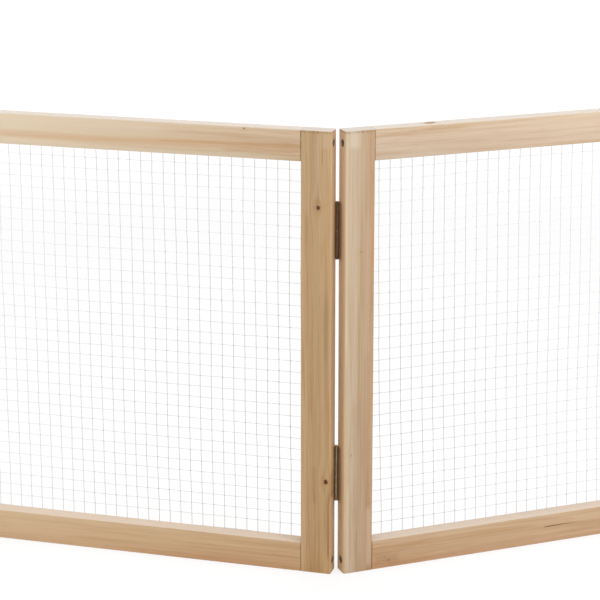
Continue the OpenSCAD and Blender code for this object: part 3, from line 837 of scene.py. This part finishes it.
def cross_borer(top, reach, depth):
    """The tapered cross that a driver's tip leaves in a screw head whose top is at z = top."""
    arms = []
    corners = ((-1, -1), (1, -1), (1, 1), (-1, 1))
    for along, aside in ((reach, reach * CROSS_ARM), (reach * CROSS_ARM, reach)):
        shape = bmesh.new()
        mouth = [shape.verts.new((x * along, y * aside, top + 0.5)) for x, y in corners]
        tip = [shape.verts.new((x * along * CROSS_TIP_REACH, y * aside * CROSS_TIP_WIDTH, top - depth))
               for x, y in corners]
        shape.faces.new(mouth)
        shape.faces.new(list(reversed(tip)))
        skin(shape, [tip, mouth], capped=False)
        arms.append(shape)
    return arms


def corner_screw_shape():
    """One corner screw that points down z, with the seat of its head at z = 0."""
    head, crown, point = SCREW_HEAD_RADIUS, SCREW_HEAD_HEIGHT, -CORNER_SCREW_LENGTH
    solid = turned([(0, point), (CORNER_SHANK_RADIUS, point + CORNER_SCREW_POINT), (CORNER_SHANK_RADIUS, 0),
                    (head - 0.15, 0), (head, 0.15), (head, crown * 0.55), (head - 0.3, crown * 0.8),
                    (head - 0.9, crown * 0.95), (head - 1.7, crown), (0, crown)])
    return bored(solid, *cross_borer(crown, 2.1, 1.6))


def stamp(together, shape, places):
    """Adds a shape to another one at several places, and frees it."""
    mesh = bpy.data.meshes.new("work")
    shape.to_mesh(mesh)
    shape.free()
    for place in places:
        before = len(together.verts)
        together.from_mesh(mesh)
        together.verts.ensure_lookup_table()
        bmesh.ops.transform(together, matrix=place, verts=together.verts[before:])
    bpy.data.meshes.remove(mesh)


def gathered(shape, places, name):
    """One mesh of the same shape at several places."""
    together = bmesh.new()
    stamp(together, shape, places)
    return settled(together, name)


def add_to_each_panel(piece, mesh, node, material):
    """The same piece at the same place in every panel."""
    for panel in PANELS:
        add_piece(f"{panel}_{piece}", mesh, panel, Matrix(), f"{panel}_{node}", material)


screw_places = []
turning = random.Random(5)
for side, edge in ((-1, COUNTERBORE_DEPTH), (1, PANEL_LENGTH - COUNTERBORE_DEPTH)):
    for z in (CORNER_SCREW_INSET, PANEL_HEIGHT - CORNER_SCREW_INSET):
        spin = Matrix.Rotation(turning.uniform(0, math.pi), 4, "Z")
        screw_places.append(Matrix.Translation((edge, -BAR_THICKNESS / 2, z))
                            @ Matrix.Rotation(side * math.pi / 2, 4, "Y") @ spin)
corner_screw_mesh = gathered(corner_screw_shape(), screw_places, "corner_screws")
corner_screw_steel = zinc_metal("corner_screw_steel", CORNER_ZINC, CORNER_ZINC_WORN,
                                crystal=0.9, roughness=0.36)
add_to_each_panel("corner_screw_set", corner_screw_mesh, "corner_screws",
                  corner_screw_steel)

# Wire nets
# Half-inch galvanised net to a panel: upright wires against the wood, level wires behind them,
# welded at every crossing and dipped in zinc, which gathers as a bead there. It was unrolled and
# cut, so its wires are a little wavy.
NET_LAP = 10
NET_LEFT = UPRIGHT_WIDTH - NET_LAP
NET_RIGHT = PANEL_LENGTH - NET_LEFT
NET_BOTTOM = RAIL_HEIGHT - NET_LAP
NET_TOP = PANEL_HEIGHT - NET_BOTTOM
# The photographed half-inch net's own pitches, and how far its first wires lie inside its edges
UPRIGHT_PITCH = 12.975
LEVEL_PITCH = 12.65
FIRST_UPRIGHT = 10.7
FIRST_LEVEL = 11.3
# The radii of the wires, how deep a weld sinks one into the other, and the radii of its bead
UPRIGHT_WIRE = 0.3
LEVEL_WIRE = 0.25
WELD_SINK = 0.1
BEAD = (0.8, 0.45, 0.8)
BEAD_GROWTH = (0.85, 1.1)
# How far the wires wave aside and up, bulge backwards and stray, and how far the lowest level wire
# that is free is pulled down
WAVE_ASIDE = 0.9
WAVE_UP = 0.8
BULGE = 1.3
WIRE_STRAY = 0.1
LOW_PULL = 1.3
# How high the kick of a net's foot reaches, and how far from the bars the staples still hold it
FOOT_HEIGHT = 260
STAPLED_BORDER = 70
NET_ZINC = (220, 222, 224)
NET_ZINC_WORN = (205, 207, 207)
# The shade that the nets darken to towards the bottom
FLOOR_GREY = (150, 150, 148)
# Painted light on the nets' level wires, and painted glare
BRIGHT_ZINC = (250, 250, 250)
X_WAY, Y_WAY, Z_WAY = Vector((1, 0, 0)), Vector((0, 1, 0)), Vector((0, 0, 1))
# How far each net sits to the right, leans over its height and is kicked to the right at its
# foot, how much more zinc its level wires carry, and its painted glare: the stretch of the panel
# over which it is painted brighter, and how far
NETS = {
    "left_front": dict(slip=0.3, lean=1.5, kick=0.4, coat=-0.05, shine=(640, 400, 0.72)),
    "right_front": dict(slip=0.6, lean=3.4, kick=3.6, coat=0.02, shine=(90, 330, 0.68)),
    "left_side": dict(slip=1.6, lean=-1.0, kick=1.0, coat=0, shine=(300, 700, 0.3)),
    "right_side": dict(slip=2.8, lean=2.0, kick=-1.2, coat=0, shine=(600, 200, 0.3)),
}


def net_shine_effect():
    """A net darker low down, painted light on its upper level wires, and painted glare along the panel."""
    takes = {"Place": "Vector", "Normal": "Vector", "Near": "Float", "Far": "Float", "Share": "Float"}
    group, taken = effect("net_shine", takes)
    along, _, height = parts_of(group, taken["Place"])
    upward = calc(group, "ABSOLUTE", parts_of(group, taken["Normal"])[2])
    # Darker towards the bottom
    dulled = ramp(group, height, 400, 150, 0.0, 0.2)
    # Painted light on the level wires in the net's upper half
    fresh = times(group, ramp(group, height, 200, 440), ramp(group, upward, 0.05, 0.3))
    # Painted glare that grows along the panel and towards the top
    shining = ramp(group, along, taken["Near"], taken["Far"], 0.0, taken["Share"])
    shining = times(group, shining, ramp(group, height, 60, 420, 0.6, 1.0))
    return giving(group, Dulled=dulled, Fresh=fresh, Shining=shining)


NET_SHINE = net_shine_effect()
NET_SHADES = {"Dulled": FLOOR_GREY, "Fresh": BRIGHT_ZINC, "Shining": BRIGHT_ZINC}


def spaced(first, start, end, pitch):
    """Wires a cell apart that pass through first and keep half a millimetre inside the cut edges."""
    back = int((first - start - 0.5) // pitch)
    places = []
    place = first - back * pitch
    while place < end - 0.5:
        places.append(place)
        place += pitch
    return places


def tube(shape, path, radius, across, sides=6):
    """A wire along path, whose round section lies in the plane of the two directions across."""
    rings = []
    for point in path:
        ring = []
        for step in range(sides):
            angle = 2 * math.pi * (step + 0.5) / sides
            rim = math.cos(angle) * across[0] + math.sin(angle) * across[1]
            ring.append(shape.verts.new(point + radius * rim))
        rings.append(ring)
    skin(shape, rings)


def bead(shape, centre, size, sides=6):
    """The zinc bead of one crossing, with its poles towards the wood and away from it."""
    near, far = [shape.verts.new(centre + Vector((0, sign * size[1], 0))) for sign in (-1, 1)]
    rings = []
    for level in (-0.5, 0.5):
        wide = math.sqrt(1 - level * level)
        ring = []
        for step in range(sides):
            angle = 2 * math.pi * step / sides
            x, z = size[0] * wide * math.cos(angle), size[2] * wide * math.sin(angle)
            ring.append(shape.verts.new(centre + Vector((x, level * size[1], z))))
        rings.append(ring)
    skin(shape, [[near], *rings, [far]], capped=False)


def leaning(z, panel):
    """How far a panel's upright wires are off to the right at height z: askew, with a kicked foot."""
    net = NETS[panel]
    foot = max(0, 1 - z / FOOT_HEIGHT)
    return net["lean"] * (PANEL_HEIGHT / 2 - z) / (NET_TOP - NET_BOTTOM) + net["kick"] * foot


def net_crossings(panel, xs, zs, seed, chance):
    """Where the wires cross, by column and row: wavy, and bulging back off the stapled border."""
    crossings = {}
    for column, x in enumerate(xs):
        for row, z in enumerate(zs):
            inside = min(x - UPRIGHT_WIDTH, PANEL_LENGTH - UPRIGHT_WIDTH - x, z - RAIL_HEIGHT,
                         PANEL_HEIGHT - RAIL_HEIGHT - z)
            slack = min(max(inside / STAPLED_BORDER, 0), 1) ** 2
            aside = WAVE_ASIDE * noise.noise((x * 0.006, z * 0.009, seed)) + chance.gauss(0, WIRE_STRAY)
            up = WAVE_UP * noise.noise((x * 0.009, z * 0.006, seed + 40)) + chance.gauss(0, WIRE_STRAY)
            back = BULGE * slack * noise.noise((x * 0.005, z * 0.007, seed + 80))
            pulled = LOW_PULL if 0 < z - RAIL_HEIGHT < LEVEL_PITCH / 2 else 0
            crossings[column, row] = Vector((x + aside + leaning(z, panel), back, z + up - pulled))
    return crossings


def net_shape(panel, seed):
    """The whole net of one panel, in the panel's frame."""
    chance = random.Random(seed)
    xs = spaced(NET_LEFT + FIRST_UPRIGHT + NETS[panel]["slip"], NET_LEFT, NET_RIGHT, UPRIGHT_PITCH)
    zs = spaced(NET_BOTTOM + FIRST_LEVEL, NET_BOTTOM, NET_TOP, LEVEL_PITCH)
    crossings = net_crossings(panel, xs, zs, seed, chance)
    shape = bmesh.new()
    level_seat = 2 * UPRIGHT_WIRE + LEVEL_WIRE - WELD_SINK
    for column in range(len(xs)):
        path = [crossings[column, row] + UPRIGHT_WIRE * Y_WAY for row in range(len(zs))]
        low, high = path[0].copy(), path[-1].copy()
        low.z, high.z = NET_BOTTOM, NET_TOP
        tube(shape, [low, *path, high], UPRIGHT_WIRE, (X_WAY, Y_WAY))
    for row in range(len(zs)):
        path = [crossings[column, row] + level_seat * Y_WAY for column in range(len(xs))]
        left, right = path[0].copy(), path[-1].copy()
        left.x, right.x = NET_LEFT, NET_RIGHT
        tube(shape, [left, *path, right], LEVEL_WIRE + NETS[panel]["coat"], (Y_WAY, Z_WAY))
    for point in crossings.values():
        grown = chance.uniform(*BEAD_GROWTH)
        bead(shape, point + 2 * UPRIGHT_WIRE * Y_WAY, [part * grown for part in BEAD])
    return shape


for panel_number, panel in enumerate(PANELS):
    net = settled(net_shape(panel, panel_number * 9 + 2), f"{panel}_net_wires", crease=70)
    near, far, share = NETS[panel]["shine"]
    # Darker bottoms, painted light on the level wires and painted glare
    weather = (NET_SHINE, {"Near": near, "Far": far, "Share": share}, NET_SHADES)
    zinc = zinc_metal(f"{panel}_net_wire", NET_ZINC, NET_ZINC_WORN, crystal=0.5, roughness=0.5,
                      metallic=0.35, weather=weather)
    add_piece(f"{panel}_net_wires", net, panel, Matrix(), f"{panel}_net", zinc)

# Staples
# Galvanised staples of flattened wire that hold the net's border to the back of the bars. Each
# crown lies across a wire, and both legs are driven into the wood.
STAPLE_WIDTH = 10
STAPLE_WIRE = 1.2
STAPLE_LEG = 9
STAPLE_POINT = 1.6
STAPLE_INSET = 4
STAPLE_BEND = 1.3
STAPLE_FLAT = 0.86
STAPLE_TIP = 0.25
STAPLED_WIRES = 8
STAPLE_ASKEW = 4
STAPLE_ZINC = (176, 178, 181)
STAPLE_ZINC_WORN = (128, 130, 132)


def staple_shape(seat):
    """One staple across the origin: its crown along x at height seat, its legs into -y."""
    half = STAPLE_WIDTH / 2 - STAPLE_WIRE / 2
    crown = seat + STAPLE_WIRE / 2
    left = [(-half, -STAPLE_LEG), (-half, -STAPLE_LEG + STAPLE_POINT), (-half, crown - STAPLE_BEND)]
    for angle in map(math.radians, (30, 60, 90)):
        left.append((-half + STAPLE_BEND * (1 - math.cos(angle)),
                     crown - STAPLE_BEND * (1 - math.sin(angle))))
    path = left + [(-x, y) for x, y in reversed(left)]
    section = [(0.5, 0.3), (0.3, 0.5), (-0.3, 0.5), (-0.5, 0.3)]
    section += [(-thick, -wide) for thick, wide in section]
    shape = bmesh.new()
    rings = []
    for number, (x, y) in enumerate(path):
        before, after = path[max(number - 1, 0)], path[min(number + 1, len(path) - 1)]
        along = Vector((after[0] - before[0], after[1] - before[1], 0)).normalized()
        aside = Vector((-along.y, along.x, 0))
        thin = STAPLE_WIRE * (STAPLE_TIP if number in (0, len(path) - 1) else STAPLE_FLAT)
        rings.append([shape.verts.new(Vector((x, y, wide * STAPLE_WIRE)) + aside * (thick * thin))
                      for thick, wide in section])
    skin(shape, rings)
    return shape


staple_wire = zinc_metal("staple_wire", STAPLE_ZINC, STAPLE_ZINC_WORN, crystal=0.8, roughness=0.28)
driving = random.Random(13)
for panel in PANELS:
    first = NET_LEFT + FIRST_UPRIGHT + NETS[panel]["slip"]
    columns = spaced(first, first - 1, NET_RIGHT, UPRIGHT_PITCH)[::STAPLED_WIRES]
    first = NET_BOTTOM + FIRST_LEVEL
    rows = spaced(first, first - 1, NET_TOP, LEVEL_PITCH)[STAPLED_WIRES // 2::STAPLED_WIRES]
    over_rails = [(x + leaning(z, panel), z)
                  for x in columns for z in (NET_BOTTOM + STAPLE_INSET, NET_TOP - STAPLE_INSET)]
    over_stiles = [(x, z) for z in rows for x in (NET_LEFT + STAPLE_INSET, NET_RIGHT - STAPLE_INSET)]
    together = bmesh.new()
    for seat, turn, spots in (
        (2 * UPRIGHT_WIRE, 0, over_rails),
        (2 * UPRIGHT_WIRE + 2 * LEVEL_WIRE - WELD_SINK, 90, over_stiles),
    ):
        places = []
        for x, z in spots:
            askew = math.radians(turn + driving.uniform(-STAPLE_ASKEW, STAPLE_ASKEW))
            places.append(Matrix.Translation((x, 0, z)) @ Matrix.Rotation(askew, 4, "Y"))
        stamp(together, staple_shape(seat), places)
    add_piece(f"{panel}_staple_set", settled(together, f"{panel}_staple_set"), panel, Matrix(),
              f"{panel}_staples", staple_wire)

# Hinge leaves
# Lift-off hinges pressed from steel strip with an antique bronze plating. Each leaf's knuckle is
# rolled from the leaf itself and shows the seam where the strip comes back to it. The lower halves
# hold the pins, the upper halves lift off, and the leaves are screwed to the back of the uprights.
LEAF_WIDTH = 18
LEAF_THICKNESS = 1.1
LEAF_CORNER = 2
LEAF_CORNER_BOW = 0.6
LEAF_START = 1.55
LEAF_HOLE_RADIUS = 1.7
LEAF_SINK_RADIUS = 3.3
PRESSED_EDGE = 0.12
KNUCKLE_RADIUS = 2.55
KNUCKLE_HEIGHT = 31.5
SOCKET_RADIUS = 1.45
PIN_SHANK_RADIUS = 1.6
LEAF_SCREW_INSET = 10
HINGE_LEVELS = {
    "lower": HINGE_MIDDLE - LEAF_HEIGHT / 2,
    "upper": PANEL_HEIGHT - HINGE_MIDDLE - LEAF_HEIGHT / 2,
}
# The lower hinges have a paler, glossier copy of the upper ones' bronze, which paints a highlight on their
# barrels
UPPER_BRONZE, UPPER_BRONZE_RUBBED = (138, 115, 86), (158, 138, 109)
LOWER_BRONZE, LOWER_BRONZE_RUBBED = (158, 138, 109), (196, 182, 160)
leaf_screw_x = LEAF_START + LEAF_WIDTH / 2
leaf_screw_zs = [LEAF_SCREW_INSET, LEAF_HEIGHT / 2, LEAF_HEIGHT - LEAF_SCREW_INSET]


def rolled_strip(bore):
    """Section of the strip from the leaf's edge round the knuckle and back to it, as (x, y)."""
    roll = [math.radians(angle) for angle in range(-90, -379, -9)]
    step_in = [(0.7, -0.02), (-0.2, -0.14), (-0.9, -0.25)]
    outer, inner = [[(-AXIS_OUT + radius * math.cos(angle), AXIS_BACK + radius * math.sin(angle))
                     for angle in roll] for radius in (KNUCKLE_RADIUS, bore)]
    low = AXIS_BACK - bore
    step_out = [(-0.9, low + 0.07), (-0.2, low + (LEAF_THICKNESS - low) * 0.62), (0.7, LEAF_THICKNESS - 0.02)]
    return step_in + outer + list(reversed(inner)) + step_out


def leaf_shape(bore, knuckle_low):
    """A leaf for the left end of a panel, seen from behind, with its knuckle rolled at one half."""
    knuckle_high = knuckle_low + KNUCKLE_HEIGHT
    far, bow = LEAF_START + LEAF_WIDTH, LEAF_CORNER_BOW
    outline = [(LEAF_START, 0), (far - LEAF_CORNER, 0), (far - bow, bow), (far, LEAF_CORNER),
               (far, LEAF_HEIGHT - LEAF_CORNER), (far - bow, LEAF_HEIGHT - bow),
               (far - LEAF_CORNER, LEAF_HEIGHT), (LEAF_START, LEAF_HEIGHT)]
    outline += [(LEAF_START, z) for z in (knuckle_high, knuckle_low) if 0 < z < LEAF_HEIGHT]
    shape = bmesh.new()
    front = [shape.verts.new((x, 0, z)) for x, z in outline]
    back = [shape.verts.new((x, LEAF_THICKNESS, z)) for x, z in outline]
    shape.faces.new(front)
    shape.faces.new(list(reversed(back)))
    knuckle_ends = [outline.index((LEAF_START, z)) for z in (knuckle_low, knuckle_high)]
    for number in range(len(outline)):
        following = (number + 1) % len(outline)
        if {number, following} != set(knuckle_ends):
            shape.faces.new([front[number], front[following], back[following], back[number]])
    strip = rolled_strip(bore)
    rims = []
    for number in knuckle_ends:
        z = outline[number][1]
        rims.append([front[number]] + [shape.verts.new((x, y, z)) for x, y in strip] + [back[number]])
    lower, upper = rims
    for step in range(len(strip) + 1):
        shape.faces.new([lower[step], lower[step + 1], upper[step + 1], upper[step]])
    shape.faces.new(lower)
    shape.faces.new(list(reversed(upper)))
    borers = []
    for z in leaf_screw_zs:
        borer = turned([(0, -1), (LEAF_HOLE_RADIUS, -1), (LEAF_HOLE_RADIUS, -0.2), (LEAF_SINK_RADIUS, 1.4),
                        (LEAF_SINK_RADIUS, 3), (0, 3)])
        borer.transform(Matrix.Translation((leaf_screw_x, 0, z)) @ Matrix.Rotation(-math.pi / 2, 4, "X"))
        borers.append(borer)
    return bored(shape, *borers)


def plating_effect():
    """Where antique plating is rubbed through in clouds and chipped in specks, and the specks."""
    group, taken = effect("antique_plating", {"Place": "Vector"})
    clouds = cloud(group, taken["Place"], (0.35, 0.35, 0.12), detail=4.0, roughness=0.6)
    specks = cloud(group, taken["Place"], (2.2, 2.2, 1.4), detail=3.0, roughness=0.7)
    rubbed = ramp(group, clouds, 0.35, 0.7, 0.0, 0.55)
    chipped = ramp(group, specks, 0.6, 0.8, 0.0, 0.5)
    return giving(group, Rubbed=rubbed, Chipped=chipped, Specks=specks)


PLATING = plating_effect()


def plated_metal(name, shade, rubbed, roughness):
    """Antique plating on pressed steel: dark brown, rubbed lighter in clouds and specks."""
    material, tree, place, _ = blank(name)
    plating = put(tree, "Group", {"Place": place}, node_tree=PLATING).outputs
    colour = mixed(tree, plating["Rubbed"], shade, rubbed)
    colour = mixed(tree, plating["Chipped"], colour, rubbed)
    roughness = calc(tree, "MULTIPLY_ADD", plating["Specks"], 0.25, roughness)
    return finished(material, colour, roughness, plating["Specks"], strength=0.25, depth=0.00005,
                    Metallic=0.85)


# The lower hinges' paler bronze is a painted highlight
hinge_bronze = {
    "upper": plated_metal("hinge_bronze_upper", UPPER_BRONZE, UPPER_BRONZE_RUBBED, roughness=0.64),
    "lower": plated_metal("hinge_bronze_lower", LOWER_BRONZE, LOWER_BRONZE_RUBBED, roughness=0.37),
}
pin_leaf = leaf_shape(PIN_SHANK_RADIUS, 0)
socket_leaf = leaf_shape(SOCKET_RADIUS, LEAF_HEIGHT - KNUCKLE_HEIGHT)
socket_leaf.transform(Matrix.Scale(-1, 4, (1, 0, 0)))
for kind, shape, x in (("pin", pin_leaf, 0), ("socket", socket_leaf, PANEL_LENGTH)):
    leaf_mesh = {"lower": settled(shape, f"{kind}_leaf")}
    leaf_mesh["upper"] = leaf_mesh["lower"].copy()
    for panel in PANELS:
        for height, z in HINGE_LEVELS.items():
            node = f"{panel}_{height}_{kind}_leaf"
            leaf = add_piece(f"{node}_plate", leaf_mesh[height], panel, Matrix.Translation((x, 0, z)), node,
                             hinge_bronze[height])
            soften = leaf.modifiers.new("pressed_edges", "BEVEL")
            soften.width = PRESSED_EDGE * MM
            soften.segments = 2
            soften.limit_method = "ANGLE"
            soften.angle_limit = math.radians(50)

# Hinge pins
# Plain steel pins, pressed into the lower knuckles by a thicker shank. Above its shoulder each pin
# is turned down for the socket, and its end is tapered so that the socket finds it.
PIN_RADIUS = 1.4
PIN_LENGTH = 58
PIN_SHOULDER = 32
PIN_GREY, PIN_GREY_WORN = (150, 144, 134), (104, 92, 78)
pin_shape = turned([
    (0, 0), (PIN_SHANK_RADIUS - 0.2, 0), (PIN_SHANK_RADIUS, 0.2), (PIN_SHANK_RADIUS, PIN_SHOULDER - 0.06),
    (PIN_SHANK_RADIUS - 0.06, PIN_SHOULDER), (PIN_RADIUS, PIN_SHOULDER), (PIN_RADIUS, PIN_LENGTH - 0.7),
    (PIN_RADIUS - 0.18, PIN_LENGTH - 0.32), (PIN_RADIUS - 0.55, PIN_LENGTH - 0.06), (0, PIN_LENGTH)])
pin_places = [Matrix.Translation((-AXIS_OUT, AXIS_BACK, z)) for z in HINGE_LEVELS.values()]
pin_mesh = gathered(pin_shape, pin_places, "hinge_pins")
pin_steel = zinc_metal("pin_steel", PIN_GREY, PIN_GREY_WORN, crystal=1.6, roughness=0.2)
add_to_each_panel("hinge_pin_pair", pin_mesh, "hinge_pins", pin_steel)

# Hinge washers
# Thin brass rings round the pins' shoulders, which keep the upper knuckles off the lower ones.
# They are stamped from sheet and tumbled, which rounds their edges a little.
WASHER_THICKNESS = 0.5
WASHER_BORE = 1.8
WASHER_SIDES = 40
WASHER_BRASS, WASHER_BRASS_RUBBED = (178, 148, 102), (206, 178, 126)


def washer_shape():
    """A flat ring with its edges broken, standing on z = 0."""
    shape = bmesh.new()
    bore, rim, top = WASHER_BORE, KNUCKLE_RADIUS, WASHER_THICKNESS
    section = [(bore, 0.06), (bore + 0.06, 0), (rim - 0.08, 0), (rim, 0.08),
               (rim, top - 0.08), (rim - 0.08, top), (bore + 0.06, top), (bore, top - 0.06)]
    rings = []
    for step in range(WASHER_SIDES):
        angle = 2 * math.pi * step / WASHER_SIDES
        rings.append([shape.verts.new((radius * math.cos(angle), radius * math.sin(angle), z))
                      for radius, z in section])
    skin(shape, rings + rings[:1], capped=False)
    return shape


washer_places = [Matrix.Translation((-AXIS_OUT, AXIS_BACK, z + KNUCKLE_HEIGHT))
                 for z in HINGE_LEVELS.values()]
washer_mesh = gathered(washer_shape(), washer_places, "hinge_washers")
washer_brass = plated_metal("washer_brass", WASHER_BRASS, WASHER_BRASS_RUBBED, roughness=0.55)
add_to_each_panel("hinge_washer_pair", washer_mesh, "hinge_washers", washer_brass)

# Leaf screws
# Small countersunk wood screws with the hinges' plating and a cross recess, three to a leaf. They
# are driven into the back of the uprights until their heads are flush in the leaves.
LEAF_SCREW_RADIUS = 1.5
LEAF_HEAD_RADIUS = 2.9
LEAF_SCREW_LENGTH = 13
LEAF_SCREW_POINT = 3
SCREW_BRONZE, SCREW_BRONZE_RUBBED = (82, 64, 46), (146, 124, 96)
leaf_screw = bored(turned([
    (0, -LEAF_SCREW_LENGTH), (LEAF_SCREW_RADIUS, LEAF_SCREW_POINT - LEAF_SCREW_LENGTH),
    (LEAF_SCREW_RADIUS, -1.4), (LEAF_HEAD_RADIUS - 0.1, -0.1), (LEAF_HEAD_RADIUS - 0.06, -0.02),
    (LEAF_HEAD_RADIUS - 0.3, 0), (0, 0)]), *cross_borer(0, 1.6, 1.1))
screw_places = []
for side, edge in ((1, 0), (-1, PANEL_LENGTH)):
    for level in HINGE_LEVELS.values():
        for z in leaf_screw_zs:
            spin = Matrix.Rotation(turning.uniform(0, math.pi), 4, "Z")
            seat = Matrix.Translation((edge + side * leaf_screw_x, LEAF_THICKNESS, level + z))
            screw_places.append(seat @ Matrix.Rotation(-math.pi / 2, 4, "X") @ spin)
leaf_screw_mesh = gathered(leaf_screw, screw_places, "leaf_screws")
leaf_screw_bronze = plated_metal("leaf_screw_bronze", SCREW_BRONZE, SCREW_BRONZE_RUBBED, roughness=0.28)
add_to_each_panel("leaf_screw_set", leaf_screw_mesh, "leaf_screws", leaf_screw_bronze)
